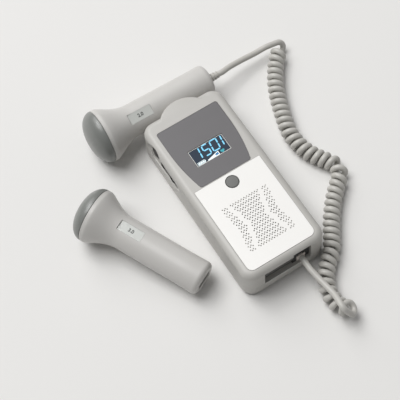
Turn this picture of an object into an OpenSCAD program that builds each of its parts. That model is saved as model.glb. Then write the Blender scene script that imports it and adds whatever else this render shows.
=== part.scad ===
// Handheld fetal doppler monitor: a flat unit with a speaker and a display, a probe in the
// cradle at its top end, a curly cord between them and a spare probe beside them.
// Millimetres. X is the unit's width, Y its length towards the cradle, Z up from its back.
// The origin is the centre of the back face on which the unit lies.

/* [Unit housing] */
// Width of the unit
unit_w = 71; // [69:0.5:78]
// Length of the unit without its arched tab
unit_l = 155; // [154:1:165]
// Height of the unit from back to front
unit_h = 34.5; // [34:0.5:37]
// Height of the joint between the back and the front shell
seam_z = 13; // [12.5:0.5:14]
// Corner radius of the housing, seen from the front
corner_r = 10; // [9:0.5:11]
// Rounding of the front edge
front_fillet = 5.5; // [3:0.5:7]
// Rounding of the back edge
back_fillet = 4.5; // [3:0.5:6]
// Thickness of the side walls
wall = 2.2; // [2:0.1:2.5]
// Thickness of the front wall
front_wall = 2.8; // [2.4:0.1:3.2]
// Thickness of the back wall, which holds the battery door's grooves
back_wall = 3.4; // [3:0.1:3.8]
// Radius of the arched tab at the cradle end
tab_r = 24.1; // [22:0.5:26]
// How far the arched tab stands out past the end of the housing
tab_reach = 5.5; // [4.5:0.5:7]
// Rounding of the arched tab's edges
tab_fillet = 1.5; // [1:0.5:3]

/* [Speaker plate] */
// Width of the white plate over the speaker
plate_w = 58.4; // [56:0.2:60]
// Length of the white plate
plate_l = 77.4; // [76:0.2:79]
// Thickness of the white plate
plate_t = 1.2; // [1.1:0.1:1.5]
// Corner radius at the plate's lower end
plate_r = 4.8; // [3:0.2:6]
// Distance from the housing's lower end to the plate
plate_margin = 5.8; // [5.4:0.1:6.4]
// Diameter of one grille hole
grille_hole_d = 0.9; // [0.6:0.1:1]
// Distance between the grille's rows
grille_row_pitch = 3.24; // [3:0.04:3.4]
// Distance between neighbouring holes along a row
grille_hole_pitch = 1.2; // [1.15:0.05:1.4]
// Number of grille rows above and below the middle one
grille_rows = 6; // [4:1:6]

/* [Display] */
// Width of the grey panel at its upper end
panel_w_top = 54.8; // [53:0.2:56]
// Width of the grey panel at its lower end
panel_w_low = 44.4; // [43:0.2:46]
// Length of the grey panel
panel_l = 58.1; // [56:0.2:60]
// Thickness of the grey panel
panel_t = 0.8; // [0.5:0.1:1]
// Width of the display window
window_w = 30.7; // [28:0.2:33]
// Height of the display window along the unit
window_l = 15.4; // [14:0.2:17]
// Thickness of the display glass
glass_t = 2.5; // [2.2:0.1:2.8]

/* [Controls] */
// Radius of the power button
button_r = 5; // [4.5:0.1:5.4]
// Travel of the power button
button_travel = 0.7; // [0.4:0.1:0.9]
// Radius of the volume wheel
wheel_r = 9; // [8.5:0.1:9.4]
// Thickness of the volume wheel
wheel_t = 4.8; // [4:0.1:5]
// Number of grip notches round the volume wheel
wheel_notches = 36; // [24:2:48]
// Radius of the volume wheel's shaft
wheel_shaft_r = 2; // [1.8:0.1:2.2]
// Bore radius of the headphone socket
headphone_r = 1.8; // [1.75:0.05:1.85]
// Bore radius of the charger socket
charger_r = 2.85; // [2.75:0.05:2.95]

/* [Battery] */
// Diameter of one battery cell
cell_d = 14.5; // [14:0.1:14.8]
// Length of one battery cell with its nub
cell_l = 50.5; // [49.5:0.1:51]
// Thickness of the battery door
door_t = 1.9; // [1.7:0.1:2.2]
// Wall thickness of the battery well
well_wall = 1.2; // [1:0.1:1.4]

/* [Probe] */
// Radius of the probe at the rim of its face
rim_r = 22; // [21:0.5:23]
// Radius of the probe's handle
handle_r = 13.3; // [13:0.1:13.6]
// Radius of the handle at its tail
tail_r = 13.6; // [13.6:0.1:14]
// Length of the probe's housing
probe_l = 98.5; // [96:0.5:101]
// Height of the domed face
face_h = 12; // [10:0.5:13]
// Wall thickness of the probe's handle
probe_wall = 2.2; // [2:0.1:2.4]
// Length of the label window on the handle
label_l = 20.5; // [18:0.5:22]
// Width of the label window on the handle
label_w = 8.5; // [7.5:0.5:9]
// Radius of the ultrasound crystal
crystal_r = 12; // [10:0.5:13]

/* [Cord] */
// Diameter of the cord
cord_d = 4.8; // [4.4:0.1:4.8]
// Radius of the curls, from their axis to the middle of the cord
coil_r = 4.5; // [4.3:0.1:4.5]
// Whole curls in the curly cord, before its last three quarters
coil_turns = 42; // [38:1:42]
// Width of the modular plugs
plug_w = 7.65; // [7.5:0.05:7.8]
// Height of the modular plugs
plug_h = 6.6; // [6.4:0.1:6.8]
// Length of the modular plugs
plug_l = 12.6; // [12:0.1:13]

/* [Hidden] */

// Smoothness of round pieces, of hulled forms, of the small grille holes and of half turns
$fn = 64;
hull_fn = 32;
hole_fn = 16;
arc_steps = 24;

// Colours of the real finishes
casing_grey = [0.78, 0.775, 0.75];
plate_white = [0.97, 0.97, 0.96];
panel_grey = [0.47, 0.46, 0.46];
dark_grey = [0.3, 0.3, 0.3];
face_grey = [0.55, 0.56, 0.55];
cord_grey = [0.72, 0.72, 0.69];
black_plastic = [0.08, 0.08, 0.08];
board_green = [0.1, 0.35, 0.2];
steel_grey = [0.7, 0.7, 0.72];
clear_plastic = [0.85, 0.88, 0.9];

// Clearances: between pieces at rest, round a plug, round a shaft, and past a cut surface
gap = 0.3;
plug_gap = 0.2;
shaft_gap = 0.05;
past = 1;
slice_t = 0.02;

// Main planes of the unit
left_x = -unit_w / 2;
low_y = -unit_l / 2;
high_y = unit_l / 2;
cavity_r = corner_r - wall;
cavity_top = unit_h - front_wall;

// Screws and their bosses, near the four corners
screw_in = 7;
screw_end_in = 11.5;
screw_x = unit_w / 2 - screw_in;
screw_y = unit_l / 2 - screw_end_in;
screw_shank_r = 1.45;
screw_head_r = 2.6;
screw_head_h = 2;
screw_well_h = 6;
screw_l = 17;
screw_end_gap = 1;
slot_l = 3;
slot_w = 0.6;
slot_h = 1;
boss_r = 3;
back_boss_r = 4;

// Lip of the back shell inside the front shell
lip_t = 1;
lip_h = 1.2;

// Battery well, cells and contacts
door_gap = 0.3;
door_top = door_gap + door_t;
cell_gap = 0.3;
cell_z = door_top + cell_gap + cell_d / 2;
cell_pitch = cell_d + cell_gap;
cell_count = 3;
nub_l = 1.3;
nub_r = 2.75;
contact_t = 0.4;
spring_h = 2.4;
spring_r = 4.5;
spring_tip_r = 3;
contact_in = 2;
well_half_w = cell_count * cell_pitch / 2 + gap;
well_in = 19.3;
well_low_y = low_y + well_in;
well_l = cell_l + spring_h + 2 * contact_t + 2 * gap;
well_high_y = well_low_y + well_l;
roof_gap = 0.2;
well_roof = cell_z + cell_d / 2 + roof_gap;
well_top = well_roof + well_wall;

// Battery door: its plate, the tongues at its sides and the grooves they run in
door_half_w = well_half_w - gap;
tongue_w = 1.4;
tongue_z = 1;
tongue_h = 0.9;
groove_gap = 0.2;
door_high_y = well_high_y + well_wall;
ridge_count = 5;
ridge_pitch = 2.6;
ridge_w = 1.2;
ridge_l = 18;
ridge_h = 0.5;
ridge_in = 14;
ridge_low_y = low_y + ridge_in;

// Main board
board_t = 1.6;
board_z = well_top + gap;
board_top = board_z + board_t;
board_side_gap = 2.8;
board_low_in = 0.7;
board_high_in = 7.5;
notch_gap = 1.2;
board_half_w = unit_w / 2 - wall - board_side_gap;
board_low_y = well_low_y + board_low_in;
board_high_y = high_y - board_high_in;
board_notch_r = boss_r + notch_gap;

// White plate with the button and the grille
plate_low_y = low_y + plate_margin;
plate_high_y = plate_low_y + plate_l;
plate_pocket = 0.9;
plate_z = unit_h - plate_pocket;
edge_gap = 0.1;
button_in = 7.6;
button_y = plate_high_y - button_in;
button_gap = 0.5;
speaker_in = 33.6;
speaker_y = plate_low_y + speaker_in;

// Loudspeaker: basket, magnet, flange, soft edge, cone and the cap in its middle
speaker_r = 18;
speaker_h = 8.4;
magnet_r = 9;
magnet_h = 3.8;
basket_r = 15.6;
flange_rim_t = 1.6;
cone_edge_r = 15;
cone_edge_z = -0.5;
cone_r = 7;
cone_z = -2.6;
cap_r = 5;
cap_low_z = -1.8;
cap_z = -1.4;

// Grille pattern: a middle field and two side fields that all widen away from the middle row
grille_stagger = 0.55;
field_half = 6.6;
field_growth = 0.98;
side_in = 10.2;
side_in_growth = 0.9;
side_out = 17.2;
side_out_growth = 0.5;
speaker_open_edge = 1.6;
speaker_open_r = side_out + side_out_growth * grille_rows + speaker_open_edge;
speaker_open_l = 41;

// Grey panel and display window
panel_gap_y = 1;
panel_low_y = plate_high_y + panel_gap_y;
panel_r = 1.8;
panel_shoulder = 19;
window_in = 23.9;
window_y = panel_low_y + window_in;
glass_gap = 0.2;
glass_sink = 0.6;
glass_top = unit_h - glass_sink;
glass_z = glass_top - glass_t;
light_t = 2.2;
holder_edge = 3.7;
holder_w = window_w + 2 * holder_edge;
holder_l = window_l + 2 * holder_edge;
holder_floor_t = 1.2;
holder_leg = 3;

// Power button and its switch
button_rise = 0.8;
button_top = unit_h + button_rise;
button_edge = 0.4;
flange_out = 2;
flange_r = button_r + flange_out;
flange_t = 1.2;
flange_top = cavity_top - gap;
switch_w = 6;
switch_h = 3.6;
plunger_r = 1.75;
plunger_h = 1.6;
stem_r = 2;
stem_gap = 0.4;

// Volume wheel, in a slot of the left wall
wheel_in = 9.5;
wheel_end_in = 22;
wheel_x = left_x + wheel_in;
wheel_y = high_y - wheel_end_in;
pot_h = 1.3;
pot_w = 11;
pot_r = 2;
wheel_z = board_top + pot_h + gap;
notch_depth = 0.4;
wheel_slot_gap = 0.4;

// Tapered pocket in the left wall round the wheel and the two sockets
pocket_depth = 1.8;
pocket_rise = 2.3;
pocket_z = board_top + pocket_rise;
pocket_big_r = 6.5;
pocket_small_r = 4.6;
pocket_high_in = 22.5;
pocket_low_in = 53;
pocket_high_y = high_y - pocket_high_in;
pocket_low_y = high_y - pocket_low_in;
pocket_floor_x = left_x + pocket_depth;
pad_t = 1.8;
pad_x = left_x + wall + pad_t;
pad_edge = 1.5;

// Headphone and charger sockets on the main board
socket_rise = 3.7;
socket_z = board_top + socket_rise;
socket_l = 11;
headphone_in = 34;
headphone_y = high_y - headphone_in;
headphone_nose_r = 2.5;
headphone_w = 5.4;
headphone_depth = 12;
charger_in = 47.5;
charger_y = high_y - charger_in;
charger_nose_r = 3.4;
charger_w = 9;
charger_depth = 9;
charger_pin_r = 1;

// Recess in the lower end: a sloped wall on the left and the open jack on the right
recess_half_w = 20;
recess_h = 15;
recess_depth = 4;
recess_back_t = 1.6;
bay_gap = 0.35;
jack_x = 13.2;
jack_w = 14.7;
jack_h = 14.2;
jack_l = 15.2;
jack_in = 2.5;
jack_rise = 0.4;
jack_front_y = low_y + jack_in;
jack_z = seam_z + jack_rise;
jack_floor = 1;
port_l = plug_l - gap;
port_z = jack_z + jack_floor;
latch_w = 3.2;
latch_h = 1.4;
latch_l = 9;
latch_root = 1;
latch_root_h = 0.4;
plug_out = 0.8;
plug_z = port_z + plug_gap + plug_h / 2;
plug_back_y = jack_front_y - plug_out;
shelf_t = 1.6;

// Probe: stations along its axis are counted from the joint between face and housing
rim_l = 3;
flare_l = 25;
flare_bias = 0.68;
flare_steps = 10;
tail_taper_l = 14.5;
tail_round = 4;
seat_depth = 4.2;
face_wall = 2;
face_power = 0.8;
spigot_t = 2;
spigot_r = rim_r - face_wall - gap;
crystal_t = 1.2;
crystal_split = 0.6;
backing_t = 3;
backing_z = 0.5;
probe_board_t = 1.6;
probe_board_s = 26;
end_wall = 2.2;
end_window_w = 14;
end_window_h = 9;
probe_jack_w = 12.8;
probe_jack_h = 10.4;
probe_jack_l = 14;
label_t = 0.4;
label_x = sqrt(pow(handle_r, 2) - pow(label_w / 2, 2)) - label_t;
boot_r = 3.3;
boot_l = 9;

// Where the probes lie: the one in the cradle, and the spare one on the same surface
cradle_gap = 0.35;
probe_tilt = 2.6;
probe_roll = 24.9;
probe_label_s = 32.7;
probe_floor_gap = 0.2;
probe_out = 61;
cradle_out = 16;
probe_head = [-probe_out, high_y + cradle_out, rim_r * cos(probe_tilt) + rim_l * sin(probe_tilt) + probe_floor_gap];
spare_yaw = -63.5;
spare_tilt = atan((rim_r - tail_r) / (probe_l - tail_round - rim_l));
spare_label_s = 33.6;
spare_out = 64.9;
spare_y = 37.4;
spare_head = [left_x - spare_out, spare_y, rim_r * cos(spare_tilt) + rim_l * sin(spare_tilt)];

// Route of the curly cord's axis, from the probe's end to the unit's end
coil_route = [[104, 95.5, 7], [104.5, 92, 7], [101.5, 88, 7], [95, 82, 7], [85.5, 68.5, 7],
    [79, 56, 7], [74, 42.5, 7], [70.5, 31.5, 7], [68, 21, 7], [68.5, 7, 7], [72, -4, 7],
    [77, -13, 7], [81, -19.5, 7], [82, -26, 7], [78.5, -32.5, 7], [71, -39, 7],
    [62, -48, 7], [52.5, -59.5, 7], [43.2, -73.4, 7], [37.2, -81.6, 7], [31, -86.5, 7],
    [26, -91.5, 7], [21.5, -97, 7], [18.5, -103, 7], [17, -109, 7], [16.8, -115, 7.2],
    [17.8, -121, 8], [20, -126, 10.5], [22.5, -129, 14]];
// Points of the two straight leads between their plug and the coil
unit_lead_route = [[13.4, -88, 17.6], [14.4, -96, 17.3], [15.3, -103, 17.6], [16.2, -110, 18.3]];
probe_lead_route = [[58.5, 95, 16], [70, 96.2, 13.7], [81, 96.5, 12.2]];
route_steps = 12;
lead_steps = 2;
lead_sides = 8;
coil_sides = 6;
rings_per_turn = 8;
tangent_reach = 3;
bend_reach = 4;

// ---- Curves and swept tubes ----

function unit_vector(v) = v / norm(v);

function last(list) = list[len(list) - 1];

// Point of a smooth curve between p1 and p2, with p0 and p3 as its other neighbours
function curve_point(p0, p1, p2, p3, t) =
    (2 * p1 + (p2 - p0) * t + (2 * p0 - 5 * p1 + 4 * p2 - p3) * t * t
    + (3 * p1 - p0 - 3 * p2 + p3) * t * t * t) / 2;

// Smooth curve through all the points, with so many steps between neighbours
function curve(points, steps) = [
    for (i = [0 : len(points) - 2])
        for (k = [0 : steps - 1])
            curve_point(points[max(i - 1, 0)], points[i], points[i + 1],
                points[min(i + 2, len(points) - 1)], k / steps),
    last(points)
];

// Length along the curve at each of its points
function run_lengths(points) = [
    for (i = 0, s = 0; i < len(points);
        s = s + (i < len(points) - 1 ? norm(points[i + 1] - points[i]) : 0), i = i + 1) s
];

// The curly cord's axis as tables of position against length
axis_points = curve(coil_route, route_steps);
axis_lengths = run_lengths(axis_points);
axis_l = last(axis_lengths);
axis_table = [for (c = [0 : 2]) [for (i = [0 : len(axis_points) - 1]) [axis_lengths[i], axis_points[i][c]]]];

function axis_at(s) = [for (c = [0 : 2]) lookup(s, axis_table[c])];

function axis_tangent(s) =
    let (on_axis = min(max(s, 0), axis_l))
    unit_vector(axis_at(on_axis + tangent_reach) - axis_at(on_axis - tangent_reach));

function axis_bend(s) =
    norm(axis_tangent(s + bend_reach) - axis_tangent(s - bend_reach)) / (2 * bend_reach);

// Curls open up where the axis bends, so that they keep their distance on the inner side
turn_share = [for (s = axis_lengths) 1 - coil_r * axis_bend(s)];
turn_sums = [
    for (i = 0, q = 0; i < len(axis_lengths);
        q = q + (i < len(axis_lengths) - 1
            ? (turn_share[i] + turn_share[i + 1]) / 2 * (axis_lengths[i + 1] - axis_lengths[i]) : 0),
        i = i + 1) q
];
last_turn = 0.75;
turns = coil_turns + last_turn;
ring_count = turns * rings_per_turn;
station_table = [for (i = [0 : len(axis_lengths) - 1]) [turn_sums[i], axis_lengths[i]]];
share_table = [for (i = [0 : len(axis_lengths) - 1]) [axis_lengths[i], turn_share[i]]];

function station(k) = lookup(k / ring_count * last(turn_sums), station_table);

function side_of(t) = unit_vector([t[1], -t[0], 0]);

// Direction from the axis to the cord at an angle, and the cord's own direction there
function curl_radial(t, angle) = cos(angle) * cross(side_of(t), t) - sin(angle) * side_of(t);

function curl_heading(s, angle) =
    unit_vector(axis_tangent(s) - coil_r * 2 * PI * turns / last(turn_sums) * lookup(s, share_table)
    * (sin(angle) * cross(side_of(axis_tangent(s)), axis_tangent(s)) + cos(angle) * side_of(axis_tangent(s))));

function curl_angle(k) = 360 * k / rings_per_turn;

// One ring of the curly cord as [centre, heading, outward direction]
function curl_ring(k) =
    let (s = station(k), t = axis_tangent(s), out = curl_radial(t, curl_angle(k)))
    [axis_at(s) + coil_r * out, curl_heading(s, curl_angle(k)), out];

curl_rings = [for (k = [0 : ring_count]) curl_ring(k)];

// The cord's straight ends run on past the first and the last ring
coil_start = curl_rings[0][0] - cord_d * curl_rings[0][1];
coil_end = last(curl_rings)[0] + cord_d * last(curl_rings)[1];
coil_rings = concat(
    [[coil_start, curl_rings[0][1], curl_rings[0][2]]],
    curl_rings,
    [[coil_end, last(curl_rings)[1], last(curl_rings)[2]]]
);

// Least gap between the curly cord's surface here and more than half a curl further on
curl_gap = min([
    for (i = [0 : len(curl_rings) - 1 - rings_per_turn / 2])
        for (j = [i + rings_per_turn / 2 : min(len(curl_rings) - 1, i + 4 * rings_per_turn)])
            norm(curl_rings[i][0] - curl_rings[j][0])
]) - cord_d;

// Corners of one ring, square to its heading
function ring_corners(ring, r, sides) =
    let (across = unit_vector(cross(ring[1], ring[2])), out = cross(across, ring[1]))
    [for (i = [0 : sides - 1]) ring[0] + r * (cos(360 * i / sides) * out + sin(360 * i / sides) * across)];

// A closed tube through rings, as one solid
module tube(rings, r, sides) {
    corners = [for (ring = rings) each ring_corners(ring, r, sides)];
    end = (len(rings) - 1) * sides;
    walls = [
        for (k = [0 : len(rings) - 2])
            for (i = [0 : sides - 1])
                for (half = [0, 1])
                    half == 0
                        ? [k * sides + i, k * sides + (i + 1) % sides, (k + 1) * sides + i]
                        : [k * sides + (i + 1) % sides, (k + 1) * sides + (i + 1) % sides, (k + 1) * sides + i]
    ];
    caps = [
        [for (i = [sides - 1 : -1 : 0]) i],
        [for (i = [0 : sides - 1]) end + i]
    ];
    polyhedron(points = corners, faces = concat(walls, caps));
}

// Rings along a lead, each square to the way between its neighbours
function lead_rings(points) = [
    for (i = [0 : len(points) - 1])
        [points[i], unit_vector(points[min(i + 1, len(points) - 1)] - points[max(i - 1, 0)]), [0, 0, 1]]
];

// A lead's points: straight out of one end, a smooth curve, and straight into the other end
function lead_points(start, start_way, route, end, end_way) = concat(
    [start],
    curve(concat([start + cord_d * start_way], route, [end - cord_d * end_way]), lead_steps),
    [end]
);

// Which way the attached probe's tail points, and where the boot of its plug ends
tail_way = [cos(probe_tilt), 0, -sin(probe_tilt)];
boot_end = probe_head + (probe_l + boot_l) * tail_way;

unit_lead_points = lead_points([jack_x, plug_back_y, plug_z], [0, -1, 0], unit_lead_route,
    coil_end, -last(curl_rings)[1]);
probe_lead_points = lead_points(boot_end, tail_way, probe_lead_route, coil_start, curl_rings[0][1]);

// ---- Shared shapes ----

// Rounded rectangle about the origin
module rounded_rect(w, l, r) {
    square([w - 2 * r, l], center = true);
    square([w, l - 2 * r], center = true);
    for (x = [-1, 1])
        for (y = [-1, 1])
            translate([x * (w / 2 - r), y * (l / 2 - r)])
                circle(r = r);
}

// Outline round two circles and the straight sides that touch both, along X from the small one
module tapered_slot(small_r, big_r, d) {
    a = 180 - acos((big_r - small_r) / d);
    polygon(concat(
        [for (i = [0 : arc_steps]) let (turn = a + (360 - 2 * a) * i / arc_steps)
            small_r * [cos(turn), sin(turn)]],
        [for (i = [0 : arc_steps]) let (turn = a * (2 * i / arc_steps - 1))
            [d + big_r * cos(turn), big_r * sin(turn)]]
    ));
}

// A slice of the housing from one height to another, drawn in on all sides
module housing_slice(inset, z_from, z_to) {
    translate([0, 0, z_from])
        linear_extrude(z_to - z_from)
            rounded_rect(unit_w - 2 * inset, unit_l - 2 * inset, corner_r - inset, $fn = hull_fn);
}

// A slice of the arched tab from one height to another, drawn in all round
module tab_slice(inset, z_from, z_to) {
    translate([0, high_y + tab_reach - tab_r, z_from])
        cylinder(r = tab_r - inset, h = z_to - z_from, $fn = 2 * hull_fn);
}

// Outer form of the front shell: straight sides and a rounded front edge
module front_form() {
    hull() {
        housing_slice(0, seam_z, unit_h - front_fillet);
        for (a = [15 : 15 : 90])
            housing_slice(front_fillet * (1 - cos(a)), seam_z, unit_h - front_fillet * (1 - sin(a)));
    }
    hull() {
        tab_slice(0, seam_z, unit_h - tab_fillet);
        for (a = [30 : 30 : 90])
            tab_slice(tab_fillet * (1 - cos(a)), seam_z, unit_h - tab_fillet * (1 - sin(a)));
    }
}

// Outer form of the back shell without its tab: a rounded back edge and straight sides
module back_form() {
    hull() {
        housing_slice(0, back_fillet, seam_z);
        for (a = [15 : 15 : 90])
            housing_slice(back_fillet * (1 - cos(a)), back_fillet * (1 - sin(a)), seam_z);
    }
}

// The back shell's half of the arched tab
module back_tab() {
    hull() {
        tab_slice(0, tab_fillet, seam_z);
        for (a = [30 : 30 : 90])
            tab_slice(tab_fillet * (1 - cos(a)), tab_fillet * (1 - sin(a)), seam_z);
    }
}

// Space inside the shells between two heights
module cavity(z_from, z_to) {
    translate([0, 0, z_from])
        linear_extrude(z_to - z_from)
            rounded_rect(unit_w - 2 * wall, unit_l - 2 * wall, cavity_r);
}

// Repeats a piece at the four screws
module at_screws() {
    for (x = [-screw_x, screw_x])
        for (y = [-screw_y, screw_y])
            translate([x, y, 0])
                children();
}

// Block given by its two corners
module block(from, to) {
    translate(from)
        cube(to - from);
}

// Moves a probe's piece from its own axis to where the probe lies
module in_probe(head, yaw, tilt, roll) {
    translate(head)
        rotate([0, 0, yaw])
            rotate([0, 90 + tilt, 0])
                rotate([0, 0, roll])
                    children();
}

module in_cradle() {
    in_probe(probe_head, 0, probe_tilt, probe_roll)
        children();
}

module on_surface() {
    in_probe(spare_head, spare_yaw, spare_tilt, 0)
        children();
}

// Room that the handle takes in the arched tab
module cradle_cut() {
    in_cradle()
        cylinder(r = handle_r + cradle_gap, h = probe_l);
}

// ---- Unit ----

// Outline of the grey panel: arched sides that draw in towards its lower end
module panel_outline(grow) {
    shoulder_y = panel_low_y + panel_l - panel_shoulder;
    drop = shoulder_y - panel_low_y;
    inset = (panel_w_top - panel_w_low) / 2;
    arc_r = (drop * drop + inset * inset) / (2 * inset);
    intersection_for (side = [-1, 1])
        translate([side * (panel_w_top / 2 - arc_r), shoulder_y])
            union() {
                circle(r = arc_r + grow, $fn = 256);
                translate([side > 0 ? -arc_r : -grow, 0])
                    square([2 * arc_r + grow, panel_shoulder]);
            }
}

module panel_blank(grow) {
    intersection() {
        panel_outline(grow);
        translate([0, panel_low_y + panel_l / 2])
            rounded_rect(panel_w_top + 2 * grow, panel_l + 2 * grow, panel_r);
    }
}

// Outline of the white plate: square upper corners and rounded lower ones
module plate_outline(grow) {
    translate([0, plate_low_y + plate_l / 2])
        rounded_rect(plate_w + 2 * grow, plate_l + 2 * grow, plate_r);
    translate([-plate_w / 2 - grow, plate_high_y - 2 * plate_r])
        square([plate_w + 2 * grow, 2 * plate_r + grow]);
}

// The front shell's solid parts: walls, bosses, the pad behind the pocket, the recess's back
module front_body() {
    difference() {
        front_form();
        cavity(seam_z - past, cavity_top);
    }
    at_screws()
        translate([0, 0, seam_z + gap])
            cylinder(r = boss_r, h = cavity_top + slice_t - seam_z - gap);
    block([left_x + wall - slice_t, pocket_low_y - pocket_small_r - pad_edge, pocket_z - pocket_big_r - pad_edge],
        [pad_x, pocket_high_y + pocket_big_r + pad_edge, pocket_z + pocket_big_r + pad_edge]);
    block([-recess_half_w - recess_back_t, low_y + wall - slice_t, seam_z],
        [jack_x - jack_w / 2 - bay_gap, low_y + recess_depth + recess_back_t, seam_z + recess_h + recess_back_t]);
}

module front_shell() {
    color(casing_grey)
        difference() {
            front_body();
            // Pockets of the plate and the panel
            translate([0, 0, plate_z])
                linear_extrude(plate_pocket + past)
                    plate_outline(edge_gap);
            translate([0, 0, unit_h - panel_t])
                linear_extrude(panel_t + past)
                    panel_blank(edge_gap);
            // Openings for the display, the button and the speaker
            translate([0, window_y, cavity_top - past])
                linear_extrude(front_wall + 2 * past)
                    square([window_w, window_l], center = true);
            translate([0, button_y, cavity_top - past])
                cylinder(r = button_r + button_gap, h = front_wall + 2 * past);
            translate([0, speaker_y, cavity_top - past])
                linear_extrude(front_wall + 2 * past)
                    intersection() {
                        rounded_rect(2 * speaker_open_r, speaker_open_l, plate_r);
                        circle(r = speaker_open_r);
                    }
            // Screw holes
            at_screws()
                translate([0, 0, seam_z])
                    cylinder(r = screw_shank_r + shaft_gap, h = screw_well_h + screw_l + screw_end_gap - seam_z);
            // Pocket in the left wall, with its slot and its two holes
            translate([left_x - past, pocket_low_y, pocket_z])
                rotate([90, 0, 90])
                    linear_extrude(pocket_depth + past)
                        tapered_slot(pocket_small_r, pocket_big_r, pocket_high_y - pocket_low_y);
            translate([wheel_x, wheel_y, wheel_z - wheel_slot_gap])
                cylinder(r = wheel_r + wheel_slot_gap, h = wheel_t + 2 * wheel_slot_gap);
            translate([left_x - past, headphone_y, socket_z])
                rotate([0, 90, 0])
                    cylinder(r = headphone_nose_r + gap, h = pad_x - left_x + 2 * past);
            translate([left_x - past, charger_y, socket_z])
                rotate([0, 90, 0])
                    cylinder(r = charger_nose_r + gap, h = pad_x - left_x + 2 * past);
            // Recess in the lower end: the sloped wall, then the open bay of the jack
            translate([-recess_half_w, 0, 0])
                rotate([90, 0, 90])
                    linear_extrude(recess_half_w + jack_x - jack_w / 2 - bay_gap)
                        polygon([[low_y - past, seam_z - past], [low_y + recess_depth, seam_z - past],
                            [low_y + recess_depth, seam_z], [low_y, seam_z + recess_h],
                            [low_y - past, seam_z + recess_h]]);
            block([jack_x - jack_w / 2 - bay_gap - slice_t, low_y - past, seam_z - past],
                [jack_x + jack_w / 2 + bay_gap, low_y + wall + past, seam_z + recess_h]);
            cradle_cut();
        }
}

// The back shell's solid parts
module back_body() {
    difference() {
        union() {
            back_form();
            back_tab();
        }
        cavity(back_wall, seam_z + past);
    }
    at_screws()
        translate([0, 0, back_wall - slice_t])
            cylinder(r = back_boss_r, h = seam_z - back_wall + slice_t);
    // Lip that lines the front shell up, open at the recess
    translate([0, 0, back_wall])
        linear_extrude(seam_z + lip_h - back_wall)
            difference() {
                rounded_rect(unit_w - 2 * (wall + edge_gap), unit_l - 2 * (wall + edge_gap), cavity_r - edge_gap);
                rounded_rect(unit_w - 2 * (wall + edge_gap + lip_t), unit_l - 2 * (wall + edge_gap + lip_t),
                    cavity_r - edge_gap - lip_t);
                translate([0, low_y + wall])
                    square([2 * (recess_half_w + recess_back_t + gap), 4 * (lip_t + edge_gap)], center = true);
            }
    // Sill under the recess
    block([-recess_half_w - recess_back_t, low_y + wall - slice_t, door_top + gap],
        [jack_x + jack_w / 2, low_y + recess_depth + recess_back_t, seam_z]);
    // Ribs that carry the jack
    for (x = [jack_x - jack_w / 2, jack_x + jack_w / 2 - shelf_t])
        block([x, low_y + recess_depth, back_wall - slice_t],
            [x + shelf_t, jack_front_y + jack_l - shelf_t, jack_z - gap]);
    // Battery well
    block([-well_half_w - well_wall, well_low_y - well_wall, back_wall - slice_t],
        [well_half_w + well_wall, well_high_y + well_wall, well_top]);
}

module back_shell() {
    color(casing_grey)
        difference() {
            back_body();
            // Space of the cells, open downwards, and the door's way out of the lower end
            block([-well_half_w, well_low_y, -past], [well_half_w, well_high_y, well_roof]);
            block([-well_half_w, low_y - past, -past], [well_half_w, door_high_y + gap, door_top + gap]);
            block([-door_half_w - tongue_w - gap, low_y - past, tongue_z - groove_gap],
                [door_half_w + tongue_w + gap, door_high_y + gap, tongue_z + tongue_h + groove_gap]);
            // Screw holes with room for their heads
            at_screws() {
                translate([0, 0, -past])
                    cylinder(r = screw_head_r + gap, h = screw_well_h + past);
                cylinder(r = screw_shank_r + gap, h = seam_z + past);
            }
            cradle_cut();
        }
}

module battery_door() {
    color(casing_grey)
        difference() {
            intersection() {
                back_form();
                union() {
                    block([-door_half_w, low_y, door_gap], [door_half_w, door_high_y, door_top]);
                    block([-door_half_w - tongue_w, low_y, tongue_z],
                        [door_half_w + tongue_w, door_high_y, tongue_z + tongue_h]);
                }
            }
            // Thumb grip
            for (i = [0 : ridge_count - 1])
                block([-ridge_l / 2, ridge_low_y + i * ridge_pitch, 0],
                    [ridge_l / 2, ridge_low_y + i * ridge_pitch + ridge_w, door_gap + ridge_h]);
        }
}

module display_panel() {
    color(panel_grey)
        translate([0, 0, unit_h - panel_t])
            linear_extrude(panel_t)
                difference() {
                    panel_blank(0);
                    translate([0, window_y])
                        square([window_w, window_l], center = true);
                }
}

// Whether a hole of the grille belongs to the middle field or to a side field
function in_grille(x, k) =
    abs(x) <= field_half + field_growth * abs(k)
    || (abs(x) >= side_in + side_in_growth * abs(k) && abs(x) <= side_out + side_out_growth * abs(k));

// Grille: rows of staggered holes in three fields
module grille() {
    columns = floor((side_out + side_out_growth * grille_rows) / grille_hole_pitch);
    for (k = [-grille_rows : grille_rows])
        for (i = [-columns : columns])
            if (in_grille(i * grille_hole_pitch, k))
                translate([i * grille_hole_pitch,
                    speaker_y + k * grille_row_pitch + grille_stagger * (i % 2 == 0 ? 1 : -1)])
                    circle(d = grille_hole_d, $fn = hole_fn);
}

module speaker_plate() {
    color(plate_white)
        translate([0, 0, plate_z])
            linear_extrude(plate_t)
                difference() {
                    plate_outline(0);
                    translate([0, button_y])
                        circle(r = button_r + button_gap);
                    grille();
                }
}

module lcd_glass() {
    color("darkslategray")
        translate([0, window_y, glass_z])
            linear_extrude(glass_t)
                square([window_w - 2 * glass_gap, window_l - 2 * glass_gap], center = true);
}

module lcd_backlight() {
    color(clear_plastic)
        translate([0, window_y, glass_z - light_t])
            linear_extrude(light_t)
                square([window_w, window_l], center = true);
}

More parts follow.
